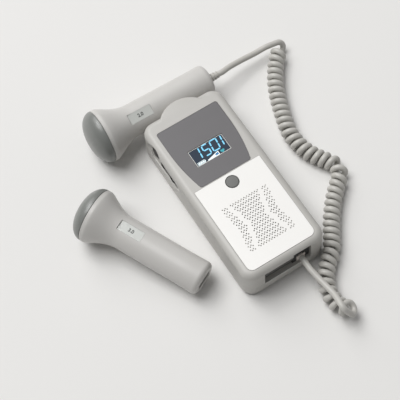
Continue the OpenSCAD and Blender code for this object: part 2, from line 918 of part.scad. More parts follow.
// Frame that holds the light and the glass, on four legs to the board
module lcd_holder() {
    floor_z = glass_z - light_t - holder_floor_t;
    color("white")
        translate([0, window_y, 0])
            difference() {
                union() {
                    translate([0, 0, floor_z])
                        linear_extrude(cavity_top - gap - floor_z)
                            square([holder_w, holder_l], center = true);
                    for (x = [-1, 1])
                        for (y = [-1, 1])
                            translate([x * (holder_w - holder_leg) / 2, y * (holder_l - holder_leg) / 2, board_top])
                                linear_extrude(floor_z + slice_t - board_top)
                                    square(holder_leg, center = true);
                }
                translate([0, 0, glass_z - light_t])
                    linear_extrude(light_t + glass_t)
                        square([window_w + gap, window_l + gap], center = true);
            }
}

module main_board() {
    color(board_green)
        translate([0, 0, board_z])
            linear_extrude(board_t)
                difference() {
                    translate([-board_half_w, board_low_y])
                        square([2 * board_half_w, board_high_y - board_low_y]);
                    for (x = [-1, 1])
                        translate([x * (screw_x - board_notch_r + unit_w / 2), screw_y - board_notch_r + unit_w / 2])
                            square(unit_w, center = true);
                }
}

// Loudspeaker: flanged basket, tapered back and magnet
module speaker_driver() {
    color(dark_grey)
        translate([0, speaker_y, plate_z - gap])
            rotate_extrude()
                polygon([[0, -speaker_h], [magnet_r, -speaker_h], [magnet_r, magnet_h - speaker_h],
                    [basket_r, -flange_rim_t], [speaker_r, -flange_rim_t], [speaker_r, 0],
                    [speaker_r - flange_rim_t, 0], [cone_edge_r, cone_edge_z], [cone_r, cone_z],
                    [cap_r, cap_low_z], [0, cap_z]]);
}

module power_button() {
    stem_bottom = board_top + switch_h + plunger_h + button_travel + stem_gap;
    color(dark_grey)
        translate([0, button_y, 0])
            rotate_extrude()
                polygon([[0, stem_bottom], [stem_r, stem_bottom], [stem_r, flange_top - flange_t],
                    [flange_r, flange_top - flange_t], [flange_r, flange_top], [button_r, flange_top],
                    [button_r, button_top - button_edge], [button_r - button_edge, button_top], [0, button_top]]);
}

module button_switch() {
    color(black_plastic)
        translate([0, button_y, board_top]) {
            linear_extrude(switch_h)
                square(switch_w, center = true);
            translate([0, 0, switch_h - slice_t])
                cylinder(r = plunger_r, h = plunger_h + slice_t);
        }
}

// Volume wheel: notched rim, bored for its shaft
module volume_wheel() {
    step = 180 / wheel_notches;
    color(dark_grey)
        translate([wheel_x, wheel_y, wheel_z])
            linear_extrude(wheel_t)
                difference() {
                    polygon([
                        for (i = [0 : 2 * wheel_notches - 1])
                            (wheel_r - (i % 2) * notch_depth) * [cos(i * step), sin(i * step)]
                    ]);
                    circle(r = wheel_shaft_r + shaft_gap);
                }
}

module volume_pot() {
    color(steel_grey)
        translate([wheel_x, wheel_y, board_top]) {
            linear_extrude(pot_h)
                rounded_rect(pot_w, pot_w, pot_r);
            translate([0, 0, pot_h - slice_t])
                cylinder(r = wheel_shaft_r, h = wheel_t + gap + slice_t);
        }
}

// A socket on the board, with a round nose in the wall and a bore from its mouth
module wall_socket(y, w, nose_r, bore_r, depth) {
    back_x = pad_x + gap + socket_l;
    difference() {
        union() {
            block([pad_x + gap, y - w / 2, board_top], [back_x, y + w / 2, 2 * socket_z - board_top]);
            translate([pocket_floor_x, y, socket_z])
                rotate([0, 90, 0])
                    cylinder(r = nose_r, h = pad_x + gap + slice_t - pocket_floor_x);
        }
        translate([pocket_floor_x - past, y, socket_z])
            rotate([0, 90, 0])
                cylinder(r = bore_r, h = depth + past);
    }
}

module headphone_jack() {
    color(black_plastic)
        wall_socket(headphone_y, headphone_w, headphone_nose_r, headphone_r, headphone_depth);
}

module charger_jack() {
    color(black_plastic) {
        wall_socket(charger_y, charger_w, charger_nose_r, charger_r, charger_depth);
        translate([pocket_floor_x + gap, charger_y, socket_z])
            rotate([0, 90, 0])
                cylinder(r = charger_pin_r, h = charger_depth);
    }
}

// Port of a modular jack, from its mouth at the origin along -Z, with room for the latch
module port_cut() {
    w = plug_w + 2 * plug_gap;
    h = plug_h + 2 * plug_gap;
    translate([-h / 2, -w / 2, -port_l])
        cube([h, w, port_l + past]);
    translate([-h / 2 - latch_h - plug_gap, -latch_w / 2 - plug_gap, -port_l])
        cube([h, latch_w + 2 * plug_gap, port_l + past]);
}

// Modular plug from its back at the origin along -Z: body, stepped nose and sloped latch
module plug_form() {
    translate([0, 0, -plug_l])
        linear_extrude(plug_l)
            square([plug_h, plug_w], center = true);
    rotate([90, 0, 0])
        linear_extrude(latch_w, center = true)
            polygon([[-plug_h / 2 + slice_t, -plug_l + latch_root], [-plug_h / 2 + slice_t, -latch_root],
                [-plug_h / 2 - latch_h, -plug_l + latch_root + latch_l],
                [-plug_h / 2 - latch_root_h, -plug_l + latch_root]]);
}

// Lines a port or a plug up with the unit's lower end: its latch side up, its mouth to -Y
module at_unit_jack(y) {
    translate([jack_x, y, plug_z])
        rotate([90, 0, 0])
            rotate([0, 0, -90])
                children();
}

module probe_jack() {
    color(black_plastic)
        difference() {
            block([jack_x - jack_w / 2, jack_front_y, jack_z],
                [jack_x + jack_w / 2, jack_front_y + jack_l, jack_z + jack_h]);
            at_unit_jack(jack_front_y)
                port_cut();
        }
}

// Turns the first cell's shapes for each cell, every second one end to end
module at_cells() {
    for (i = [0 : cell_count - 1])
        translate([(i - (cell_count - 1) / 2) * cell_pitch, (well_low_y + well_high_y) / 2, cell_z])
            rotate([0, 0, i % 2 * 180])
                translate([0, -well_l / 2, 0])
                    rotate([-90, 0, 0])
                        children();
}

module battery_cells() {
    color("goldenrod")
        at_cells()
            translate([0, 0, contact_t + spring_h + gap / 2]) {
                cylinder(d = cell_d, h = cell_l - nub_l);
                cylinder(r = nub_r, h = cell_l);
            }
}

// A coned spring at one end of each cell and a flat plate at the other
module battery_contacts() {
    color(steel_grey)
        at_cells() {
            translate([0, 0, contact_t / 2])
                cube([cell_d - 2 * contact_in, cell_d - 2 * contact_in, contact_t], center = true);
            translate([0, 0, contact_t - slice_t])
                cylinder(r1 = spring_r, r2 = spring_tip_r, h = spring_h + slice_t);
            translate([0, 0, well_l - contact_t / 2])
                cube([cell_d - 2 * contact_in, cell_d - 2 * contact_in, contact_t], center = true);
        }
}

module case_screws() {
    color(steel_grey)
        at_screws()
            translate([0, 0, screw_well_h - screw_head_h])
                difference() {
                    union() {
                        cylinder(r = screw_head_r, h = screw_head_h);
                        cylinder(r = screw_shank_r, h = screw_head_h + screw_l);
                    }
                    for (turn = [0, 90])
                        rotate([0, 0, turn])
                            cube([slot_l, slot_w, 2 * slot_h], center = true);
                }
}

// ---- Cord ----

module plug_unit() {
    color(clear_plastic)
        at_unit_jack(plug_back_y)
            plug_form();
}

module lead_unit() {
    color(cord_grey)
        tube(lead_rings(unit_lead_points), cord_d / 2, lead_sides);
}

module cord_coil() {
    echo(least_gap_of_curls = curl_gap);
    echo(cord_length = last(run_lengths(unit_lead_points)) + last(run_lengths(probe_lead_points))
        + last(run_lengths([for (ring = coil_rings) ring[0]])));
    color(cord_grey)
        tube(coil_rings, cord_d / 2, coil_sides);
}

module lead_probe() {
    color(cord_grey)
        tube(lead_rings(probe_lead_points), cord_d / 2, lead_sides);
}

module plug_probe() {
    back = probe_l - end_wall - gap + plug_out;
    color(clear_plastic)
        in_cradle() {
            translate([0, 0, back])
                plug_form();
            translate([0, 0, back - slice_t])
                cylinder(r = boot_r, h = probe_l + boot_l - back + slice_t);
        }
}

// ---- Probes ----

// Radius of the housing along its flare: a soft S from the rim to the handle
function flare_r(s) =
    handle_r + (rim_r - handle_r) * pow(cos(90 * pow((s - rim_l) / flare_l, flare_bias)), 2);

flare_stations = [for (i = [0 : flare_steps]) rim_l + flare_l * i / flare_steps];
tail_s = probe_l - tail_round;

module housing_form(label_s) {
    inside_s = [for (s = flare_stations) if (s > seat_depth) s];
    difference() {
        rotate_extrude()
            polygon(concat(
                [[0, 0], [rim_r, 0]],
                [for (s = flare_stations) [flare_r(s), s]],
                [[handle_r, tail_s - tail_taper_l]],
                [for (a = [0 : 30 : 90]) [tail_r - tail_round * (1 - cos(a)), tail_s + tail_round * sin(a)]],
                [[0, probe_l]]
            ));
        rotate_extrude()
            polygon(concat(
                [[0, -past], [rim_r - face_wall - gap / 2, -past], [rim_r - face_wall - gap / 2, seat_depth]],
                [for (s = inside_s) [flare_r(s) - probe_wall, s]],
                [[handle_r - probe_wall, probe_l - end_wall], [0, probe_l - end_wall]]
            ));
        translate([-end_window_h / 2, -end_window_w / 2, probe_l - end_wall - past])
            cube([end_window_h, end_window_w, end_wall + 2 * past]);
        block([-rim_r, -label_w / 2, label_s - label_l / 2], [-label_x, label_w / 2, label_s + label_l / 2]);
    }
}

// Domed face with the spigot that the housing seats on
module face_form() {
    rotate_extrude()
        polygon(concat(
            [for (a = [0 : 10 : 90]) [rim_r * pow(sin(a), face_power), -face_h * cos(a)]],
            [[spigot_r, 0], [spigot_r, seat_depth - gap], [spigot_r - spigot_t, seat_depth - gap],
                [spigot_r - spigot_t, backing_z - gap / 2], [crystal_r + gap, backing_z - gap / 2],
                [crystal_r + gap, backing_z - crystal_t - gap / 2], [0, backing_z - crystal_t - gap / 2]]
        ));
}

// The sending and the receiving half of the ultrasound crystal
module crystals_form() {
    translate([0, 0, backing_z - crystal_t])
        difference() {
            cylinder(r = crystal_r, h = crystal_t);
            cube([crystal_split, 3 * crystal_r, 3 * crystal_t], center = true);
        }
}

module backing_form() {
    translate([0, 0, backing_z])
        cylinder(r = spigot_r - spigot_t - gap / 2, h = backing_t);
}

module probe_board_form() {
    half_w = handle_r - probe_wall - gap;
    block([-probe_board_t / 2, -half_w, probe_board_s],
        [probe_board_t / 2, half_w, probe_l - end_wall - gap - probe_jack_l - gap]);
}

module probe_socket_form() {
    front = probe_l - end_wall - gap;
    difference() {
        block([-probe_jack_h / 2, -probe_jack_w / 2, front - probe_jack_l],
            [probe_jack_h / 2, probe_jack_w / 2, front]);
        translate([0, 0, front])
            port_cut();
    }
}

module label_form(label_s) {
    block([-label_x - label_t, -label_w / 2 + edge_gap, label_s - label_l / 2 + edge_gap],
        [-label_x, label_w / 2 - edge_gap, label_s + label_l / 2 - edge_gap]);
}

module probe_housing() {
    color(casing_grey)
        in_cradle()
            housing_form(probe_label_s);
}

module probe_face() {
    color(face_grey)
        in_cradle()
            face_form();
}

module probe_crystals() {
    color("goldenrod")
        in_cradle()
            crystals_form();
}

module probe_backing() {
    color(dark_grey)
        in_cradle()
            backing_form();
}

module probe_board() {
    color(board_green)
        in_cradle()
            probe_board_form();
}

module probe_socket() {
    color(black_plastic)
        in_cradle()
            probe_socket_form();
}

module probe_label() {
    color(clear_plastic)
        in_cradle()
            label_form(probe_label_s);
}

module spare_housing() {
    color(casing_grey)
        on_surface()
            housing_form(spare_label_s);
}

module spare_face() {
    color(face_grey)
        on_surface()
            face_form();
}

module spare_crystals() {
    color("goldenrod")
        on_surface()
            crystals_form();
}

module spare_backing() {
    color(dark_grey)
        on_surface()
            backing_form();
}

module spare_board() {
    color(board_green)
        on_surface()
            probe_board_form();
}

module spare_socket() {
    color(black_plastic)
        on_surface()
            probe_socket_form();
}

module spare_label() {
    color(clear_plastic)
        on_surface()
            label_form(spare_label_s);
}

front_shell();
back_shell();
display_panel();
speaker_plate();
lcd_glass();
lcd_holder();
lcd_backlight();
main_board();
speaker_driver();
power_button();
button_switch();
volume_wheel();
volume_pot();
headphone_jack();
charger_jack();
probe_jack();
battery_cells();
battery_contacts();
battery_door();
case_screws();
plug_unit();
lead_unit();
cord_coil();
lead_probe();
plug_probe();
probe_housing();
probe_face();
probe_crystals();
probe_backing();
probe_board();
probe_socket();
probe_label();
spare_housing();
spare_face();
spare_crystals();
spare_backing();
spare_board();
spare_socket();
spare_label();
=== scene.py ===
"""Looks of a handheld fetal doppler monitor, its curly cord and its two probes.

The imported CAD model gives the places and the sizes. Everything is in metres and in its frame:
X across the unit, Y along it towards the probe's cradle, Z up from the surface it lies on.
"""

import math

import bmesh
import bpy
import numpy as np
from mathutils import Matrix, Vector


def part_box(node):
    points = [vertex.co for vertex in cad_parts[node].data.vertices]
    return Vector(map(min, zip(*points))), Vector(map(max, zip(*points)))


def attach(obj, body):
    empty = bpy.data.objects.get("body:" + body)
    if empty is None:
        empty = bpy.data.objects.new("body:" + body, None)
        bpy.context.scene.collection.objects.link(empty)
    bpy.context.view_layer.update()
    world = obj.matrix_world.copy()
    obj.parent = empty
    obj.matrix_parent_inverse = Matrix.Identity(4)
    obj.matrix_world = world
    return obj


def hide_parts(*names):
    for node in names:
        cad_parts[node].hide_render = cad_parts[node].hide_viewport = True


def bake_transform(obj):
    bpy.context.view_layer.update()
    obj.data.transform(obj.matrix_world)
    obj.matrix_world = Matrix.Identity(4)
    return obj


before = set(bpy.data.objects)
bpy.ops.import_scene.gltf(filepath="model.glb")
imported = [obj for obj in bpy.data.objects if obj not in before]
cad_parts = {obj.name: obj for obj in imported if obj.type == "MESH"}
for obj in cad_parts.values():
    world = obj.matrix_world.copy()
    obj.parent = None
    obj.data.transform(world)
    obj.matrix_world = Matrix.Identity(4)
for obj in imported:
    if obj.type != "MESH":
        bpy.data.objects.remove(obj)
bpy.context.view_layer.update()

MM = 0.001


def link(thing):
    """The object, put into the scene."""
    bpy.context.scene.collection.objects.link(thing)
    return thing


def corners(node):
    """A CAD node's lowest and highest corner as arrays."""
    low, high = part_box(node)
    return np.array(low), np.array(high)


# ---- Camera ----

# The photograph's viewing angle, its roll, and where its middle looks
AZIMUTH = math.radians(-25.644)
ELEVATION = math.radians(64.216)
ROLL = math.radians(-7.014)
LOOK_AT = Vector((-0.02143, 0.0136, 0.0))
DISTANCE = 0.98187
LENS_MM = 112.675
SENSOR_MM = 36


def add_camera():
    """Turns the camera by azimuth and elevation about the point it looks at, then rolls it."""
    flat = math.cos(ELEVATION)
    back = Vector((flat * math.sin(AZIMUTH), -flat * math.cos(AZIMUTH), math.sin(ELEVATION)))
    level = Vector((math.cos(AZIMUTH), math.sin(AZIMUTH), 0))
    upright = back.cross(level)
    right = math.cos(ROLL) * level + math.sin(ROLL) * upright
    up = math.cos(ROLL) * upright - math.sin(ROLL) * level
    data = bpy.data.cameras.new("camera")
    data.lens = LENS_MM
    data.sensor_width = SENSOR_MM
    data.sensor_fit = "HORIZONTAL"
    camera = bpy.data.objects.new("camera", data)
    turned = Matrix((right, up, back)).transposed().to_4x4()
    camera.matrix_world = Matrix.Translation(LOOK_AT + DISTANCE * back) @ turned
    bpy.context.scene.camera = link(camera)


add_camera()
bpy.context.scene.view_settings.view_transform = "Standard"


# ---- Materials ----


def linear(hex_colour):
    """An sRGB hex colour as linear RGBA."""
    srgb = np.array([int(hex_colour[i : i + 2], 16) for i in (0, 2, 4)]) / 255
    rgb = np.where(srgb <= 0.04045, srgb / 12.92, ((srgb + 0.055) / 1.055) ** 2.4)
    return (*rgb.tolist(), 1.0)


def add_node(tree, kind, settings=None, inputs=None):
    """Adds a shader node, sets its properties, and sets or links its inputs."""
    made = tree.nodes.new("ShaderNode" + kind)
    for name, value in (settings or {}).items():
        setattr(made, name, value)
    for key, value in (inputs or {}).items():
        if isinstance(value, bpy.types.NodeSocket):
            tree.links.new(value, made.inputs[key])
        else:
            made.inputs[key].default_value = value
    return made


# Short names of the shader's inputs
INPUTS = {
    "roughness": "Roughness",
    "ior": "IOR",
    "coat": "Coat Weight",
    "metallic": "Metallic",
    "specular": "Specular IOR Level",
    "transmission": "Transmission Weight",
    "emission": "Emission Color",
    "glow": "Emission Strength",
}


def surface(name, light, dark, grain=None, depth=None, patch=18, **inputs):
    """Material of two near tones that drift over patches, under fine grains. Its sizes are in mm."""
    material = bpy.data.materials.new(name)
    material.use_nodes = True
    tree = material.node_tree
    tree.nodes.clear()
    shader = add_node(tree, "BsdfPrincipled")
    add_node(tree, "OutputMaterial", inputs={"Surface": shader.outputs["BSDF"]})
    place = add_node(tree, "TexCoord").outputs["Object"]
    patches = {"Vector": place, "Scale": 1 / (patch * MM), "Detail": 3.0, "Roughness": 0.5}
    drift = add_node(tree, "TexNoise", inputs=patches)
    tones = {"Factor": drift.outputs["Fac"], 6: linear(light), 7: linear(dark)}
    mix = add_node(tree, "Mix", {"data_type": "RGBA"}, tones)
    tree.links.new(mix.outputs[2], shader.inputs["Base Color"])
    if grain:
        grains = {"Vector": place, "Scale": 1 / (grain * MM), "Detail": 2.0, "Roughness": 0.6}
        relief = add_node(tree, "TexNoise", inputs=grains)
        heights = {"Height": relief.outputs["Fac"], "Strength": 1.0, "Distance": depth * MM}
        bump = add_node(tree, "Bump", inputs=heights)
        tree.links.new(bump.outputs["Normal"], shader.inputs["Normal"])
    for key, value in inputs.items():
        shader.inputs[INPUTS[key]].default_value = value
    return material


# ABS, spark-eroded mould: a fine even grain that breaks the shine into a soft sheen
casing_abs = surface("casing_abs", "BFBDB9", "BAB8B3", 0.45, 0.012, roughness=0.42)
# The same ABS on the probes, from a polished mould: a little smoother
probe_abs = surface("probe_abs", "CAC8C5", "C5C3BF", 0.6, 0.008, roughness=0.36)
# Acrylic sheet, printed white from behind: flat, glossy and nearly even
white_acrylic = surface("white_acrylic", "F5F4F1", "F2F0ED", 1.5, 0.002, roughness=0.26, ior=1.49)
# Printed polycarbonate film: grey and silky, with a very fine texture
panel_film = surface("panel_film", "636163", "5F5D5F", 0.3, 0.006, roughness=0.45, ior=1.58)
# Silicone rubber key: dull and slightly dusty
button_rubber = surface("button_rubber", "7A7A78", "737371", 0.4, 0.015, roughness=0.62, ior=1.41)
# Extruded soft PVC over the cord: satin, with a faint drift in tone along it
cord_pvc = surface("cord_pvc", "C4C2BD", "BAB8B2", 0.8, 0.01, patch=9, roughness=0.4, ior=1.53)
# Cast epoxy lens over the crystals: darker grey with a broad, soft shine under a thin clear one
face_epoxy = surface("face_epoxy", "7F817E", "757774", 2.0, 0.004, roughness=0.34, ior=1.55, coat=0.15)
# Glass-filled black nylon of the sockets: matte, near black
black_nylon = surface("black_nylon", "1A1A1A", "131313", 0.3, 0.01, roughness=0.5, ior=1.53)
# Dark ABS of the volume wheel and the speaker's basket: dull charcoal that still shows its ribs
dark_abs = surface("dark_abs", "484644", "403E3C", 0.3, 0.01, roughness=0.5)
# Painted shade: dark polycarbonate film laid in the recess and the side pocket, where they lie in shade; fine
# grain, dull sheen
painted_shade_film = surface("painted_shade_film", "474644", "42413F", 0.3, 0.01, roughness=0.5, ior=1.58)
# Solder mask over copper: deep green with a resin gloss
solder_mask = surface("solder_mask", "1D5A38", "184E30", 1.2, 0.01, patch=4, roughness=0.3)
# Foil sleeve of a battery cell: printed plain, glossy
cell_foil = surface("cell_foil", "B08A3C", "A58036", 2.0, 0.004, roughness=0.25, coat=0.4)
# Piezo ceramic with fired silver: warm pale grey
fired_silver = surface("fired_silver", "CFC39A", "C4B88F", 0.3, 0.006, roughness=0.4)
# White nylon frame and diffuser behind the display: even and dull
white_nylon = surface("white_nylon", "ECEBE6", "E4E3DD", 0.4, 0.01, roughness=0.5, ior=1.53)
# Screen-printed ink of the plain numbers: dull and nearly black
black_ink = surface("black_ink", "3A3C3C", "333535", 0.3, 0.002, roughness=0.5)
# Nickel plate of screws, springs and shafts: bright, with fine scratches that catch the light
nickel = surface("nickel", "C8C6C2", "B9B7B2", 0.3, 0.01, patch=2, metallic=1.0, roughness=0.28)
# Gold flash on the plugs' contact blades: thin warm lines inside the clear plugs
gold_flash = surface("gold_flash", "D9B25A", "C79F49", 0.2, 0.01, patch=2, metallic=1.0, roughness=0.25)
# Clear polycarbonate of the moulded plugs: refracts a little, with a warm tint
plug_clear = surface(
    "clear_polycarbonate", "F2E9E2", "EBDFD6", 0.8, 0.004, patch=5,
    transmission=0.22, roughness=0.12, ior=1.58,
)
# Display glass: nearly black blue under a clear, hard shine
lcd_surface = surface("display_glass", "414B59", "363F4C", 3, 0.001, patch=12, roughness=0.08, ior=1.52)
# Label cover: clear glossy film over pale paper
label_film = surface("label_film", "CDCFCB", "C9CBC7", 1.5, 0.002, roughness=0.16, ior=1.49)


def lit_segment(name, colour, glow):
    """Display segment: light from the lamp behind passes through the coloured shape."""
    return surface(name, colour, colour, patch=4, roughness=0.2, emission=linear(colour), glow=glow)


# The display's lit shapes: pale cyan digits, white signs, a blue level and a teal heart
segment_cyan = lit_segment("segment_cyan", "7CC6E6", 0.45)
segment_white = lit_segment("segment_white", "DDEBEE", 0.45)
segment_blue = lit_segment("segment_blue", "3F8FD0", 0.4)
segment_teal = lit_segment("segment_teal", "3E9AA4", 0.35)


# ---- Making meshes ----

# Edges stay sharp above this angle: on curved pieces, and on flat ones with fine edges
SMOOTH_BELOW = math.radians(32)
SHARP_ABOVE = math.radians(5)
# Points nearer than this are one point
WELD = 1e-7


def make_piece(name, points, faces, material):
    """A mesh object at the origin from points and faces, with smooth curved faces."""
    mesh = bpy.data.meshes.new(name)
    mesh.from_pydata(np.asarray(points).reshape(-1, 3).tolist(), [], faces)
    return dress(bpy.data.objects.new(name, mesh), material)


def dress(piece, material):
    """Closes doubled points, turns faces outwards, and gives the piece its material and shading."""
    mesh = piece.data
    work = bmesh.new()
    work.from_mesh(mesh)
    bmesh.ops.remove_doubles(work, verts=work.verts, dist=WELD)
    bmesh.ops.recalc_face_normals(work, faces=work.faces)
    work.to_mesh(mesh)
    work.free()
    mesh.materials.clear()
    mesh.materials.append(material)
    shade(mesh)
    return link(piece)


def shade(mesh):
    """Smooth shading over every edge that bends less than the limit."""
    mesh.polygons.foreach_set("use_smooth", np.ones(len(mesh.polygons), bool))
    mesh.set_sharp_from_angle(angle=SMOOTH_BELOW)


def grid_faces(rows, columns):
    """Quads of a grid of points that closes on itself from the last column to the first."""
    row = np.arange(rows - 1)[:, None] * columns
    here = np.arange(columns)[None, :]
    after = (here + 1) % columns
    quads = np.stack([row + here, row + after, row + columns + after, row + columns + here], -1)
    return quads.reshape(-1, 4).tolist()


def spin(degrees, axis):
    """Matrix that turns about an axis."""
    return Matrix.Rotation(math.radians(degrees), 4, axis)


def capped_faces(rows, columns):
    """The grid's quads and a flat face over each end."""
    ends = [list(range(columns))[::-1], [(rows - 1) * columns + i for i in range(columns)]]
    return grid_faces(rows, columns) + ends


def loft(name, outline, stations, material, place=Matrix()):
    """Solid with flat ends. Each station moves the outline out along its normals and sets its height.

    stations are pairs of offset and height. place turns the solid from its own axis to its place.
    """
    points, normals = outline
    offsets, heights = np.array(stations, float).T
    flat = points[None] + offsets[:, None, None] * normals[None]
    rows, columns = flat.shape[:2]
    solid = np.concatenate([flat, np.broadcast_to(heights[:, None, None], (rows, columns, 1))], -1)
    return make_piece(name, moved(solid, place), capped_faces(rows, columns), material)


def moved(points, place):
    """Points turned and shifted by a matrix."""
    matrix = np.array(place)
    return points @ matrix[:3, :3].T + matrix[:3, 3]


def around(steps):
    """Angles of even steps round a circle."""
    return np.linspace(0, 2 * math.pi, steps, endpoint=False)


def spokes(turn):
    """Unit vectors at angles."""
    return np.stack([np.cos(turn), np.sin(turn)], -1)


def revolve(name, profile, material, place=Matrix(), steps=144):
    """Solid of revolution. profile holds pairs of radius and height, from axis to axis."""
    radius, height = np.array(profile, float).T
    rings = radius[:, None, None] * spokes(around(steps))
    solid = np.concatenate([rings, np.broadcast_to(height[:, None, None], (len(height), steps, 1))], -1)
    return make_piece(name, moved(solid, place), grid_faces(len(height), steps), material)


def rounded_outline(half_w, half_l, r, steps=10, centre=(0, 0)):
    """Rounded rectangle as points and outward normals: a quarter circle at each corner."""
    quarter = np.linspace(0, math.pi / 2, steps)
    turn = (np.arange(4)[:, None] * math.pi / 2 + quarter).ravel()
    normals = spokes(turn)
    signs = np.repeat([[1, 1], [-1, 1], [-1, -1], [1, -1]], steps, axis=0)
    points = signs * [half_w - r, half_l - r] + r * normals + np.array(centre)
    return points, normals


def circle_outline(r, steps=96, centre=(0, 0)):
    """Circle as points and outward normals."""
    normals = spokes(around(steps))
    return np.array(centre) + r * normals, normals


def free_outline(points):
    """Any anticlockwise outline with normals square to the way between its neighbours."""
    points = np.asarray(points, float)
    way = np.roll(points, -1, 0) - np.roll(points, 1, 0)
    normals = np.stack([way[:, 1], -way[:, 0]], -1)
    return points, normals / np.linalg.norm(normals, axis=1, keepdims=True)


def block(low, high, name="cutter"):
    """Plain block between two corners, to cut or to join with."""
    low, high = np.array(low, float), np.array(high, float)
    middle, half = (low + high) / 2, (high - low) / 2
    outline = rounded_outline(half[0], half[1], 0, 1, middle[:2])
    return loft(name, outline, [(0, low[2]), (0, high[2])], casing_abs)


def carve(piece, cutters, operation="DIFFERENCE"):
    """Cuts the cutters out of the piece, or joins them to it, and removes them."""
    for tool in cutters:
        modifier = piece.modifiers.new("carve", "BOOLEAN")
        modifier.operation = operation
        modifier.solver = "EXACT"
        modifier.object = tool
    graph = bpy.context.evaluated_depsgraph_get()
    piece.data = bpy.data.meshes.new_from_object(piece.evaluated_get(graph))
    piece.data.name = piece.name
    piece.modifiers.clear()
    for tool in cutters:
        bpy.data.objects.remove(tool)
    work = bmesh.new()
    work.from_mesh(piece.data)
    bmesh.ops.remove_doubles(work, verts=work.verts, dist=WELD)
    bmesh.ops.dissolve_degenerate(work, edges=work.edges, dist=WELD)
    work.to_mesh(piece.data)
    work.free()
    shade(piece.data)


def cutter(outline, stations, place=Matrix(), material=None):
    """A loft to cut with. Its material is that of the piece that it cuts."""
    return loft("cutter", outline, stations, material or casing_abs, place)


def rounded_top(reach, turns, top):
    """Stations of a rounded edge that draws an outline in by reach up to its top."""
    turn = np.linspace(0, math.pi / 2, turns)
    return list(zip(-reach * (1 - np.cos(turn)), top - reach + reach * np.sin(turn)))


def rounded_bottom(reach, turns):
    """Stations of a rounded edge that goes out from a flat bottom at height zero."""
    turn = np.linspace(math.pi / 2, 0, turns)
    return list(zip(-reach * (1 - np.cos(turn)), reach * (1 - np.sin(turn))))


def edged(low, high, edge):
    """Stations between two heights with a chamfer at both ends."""
    return [(-edge, low), (0, low + edge), (0, high - edge), (-edge, high)]


def mesh_of(curve, height):
    """The mesh that a curve or a text makes, lifted to a height."""
    drawing = link(bpy.data.objects.new(curve.name + "_drawing", curve))
    graph = bpy.context.evaluated_depsgraph_get()
    mesh = bpy.data.meshes.new_from_object(drawing.evaluated_get(graph))
    bpy.data.objects.remove(drawing)
    mesh.transform(Matrix.Translation((0, 0, height)))
    return mesh


def flat_shapes(name, outlines, low, high, edge, material):
    """Thin plate between two heights with rounded edges.

    Each outline lies in the plane. One that lies inside another is a hole in it.
    """
    curve = bpy.data.curves.new(name, "CURVE")
    curve.dimensions = "2D"
    curve.fill_mode = "BOTH"
    curve.extrude = (high - low) / 2 - edge
    curve.bevel_depth = edge
    curve.bevel_resolution = 1
    curve.offset = -edge
    for outline in outlines:
        spline = curve.splines.new("POLY")
        spline.points.add(len(outline) - 1)
        padded = np.c_[outline, np.zeros(len(outline)), np.ones(len(outline))]
        spline.points.foreach_set("co", padded.ravel())
        spline.use_cyclic_u = True
    mesh = mesh_of(curve, (low + high) / 2)
    piece = dress(bpy.data.objects.new(name, mesh), material)
    mesh.set_sharp_from_angle(angle=SHARP_ABOVE)
    return piece


def place_piece(piece, body, slot, *nodes):
    """The piece moves with the body and stands for the nodes, which it hides. slot is not used."""
    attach(piece, body)
    if nodes:
        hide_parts(*nodes)


# ---- Cord: its route, its curls and its two leads ----

CORD_D = 4.8 * MM
COIL_R = 4.5 * MM
COIL_TURNS = 42.75
RINGS_PER_TURN = 28
CORD_SIDES = 16
WAY_REACH = 3 * MM
BEND_REACH = 4 * MM
ROUTE_STEPS = 12
LEAD_STEPS = 8
TURN_STEPS = 16
TURN_REACH = 0.5

# Points of the curls' axis, from the probe's end to the unit's end
COIL_ROUTE = MM * np.array([
    [104, 95.5, 7], [104.5, 92, 7], [101.5, 88, 7], [95, 82, 7], [85.5, 68.5, 7], [79, 56, 7],
    [74, 42.5, 7], [70.5, 31.5, 7], [68, 21, 7], [68.5, 7, 7], [72, -4, 7], [77, -13, 7],
    [81, -19.5, 7], [82, -26, 7], [78.5, -32.5, 7], [71, -39, 7], [62, -48, 7], [52.5, -59.5, 7],
    [43.2, -73.4, 7], [37.2, -81.6, 7], [31, -86.5, 7], [26, -91.5, 7], [21.5, -97, 7],
    [18.5, -103, 7], [17, -109, 7], [16.8, -115, 7.2], [17.8, -121, 8], [20, -126, 10.5],
    [22.5, -129, 14],
])
# Points of the leads between their plugs and the curls
UNIT_LEAD = MM * np.array([[13.4, -88, 17.6], [14.4, -96, 17.3], [15.3, -103, 17.6], [16.2, -110, 18.3]])
PROBE_LEAD = MM * np.array([[58.5, 95, 16], [70, 96.2, 13.7], [81, 96.5, 12.2]])


def unit_rows(vectors):
    """Each row at length one."""
    return vectors / np.linalg.norm(vectors, axis=-1, keepdims=True)


def smooth_route(points, steps):
    """Cubic through all the points whose way at each one is half its neighbours' distance."""
    ends = np.vstack([points[:1], points, points[-1:]])
    p0, p1, p2, p3 = (ends[i : len(ends) - 3 + i][:, None] for i in range(4))
    t = np.linspace(0, 1, steps, endpoint=False)[None, :, None]
    curve = 2 * p1 + (p2 - p0) * t + (2 * p0 - 5 * p1 + 4 * p2 - p3) * t**2
    curve = (curve + (3 * p1 - p0 - 3 * p2 + p3) * t**3) / 2
    return np.vstack([curve.reshape(-1, 3), points[-1:]])


def run_lengths(points):
    """Length along a line of points at each of them."""
    steps = np.linalg.norm(np.diff(points, axis=0), axis=1)
    return np.concatenate([[0], np.cumsum(steps)])


def at_length(s, lengths, points):
    """Points of a line at given lengths along it."""
    return np.stack([np.interp(s, lengths, points[:, c]) for c in range(3)], -1)


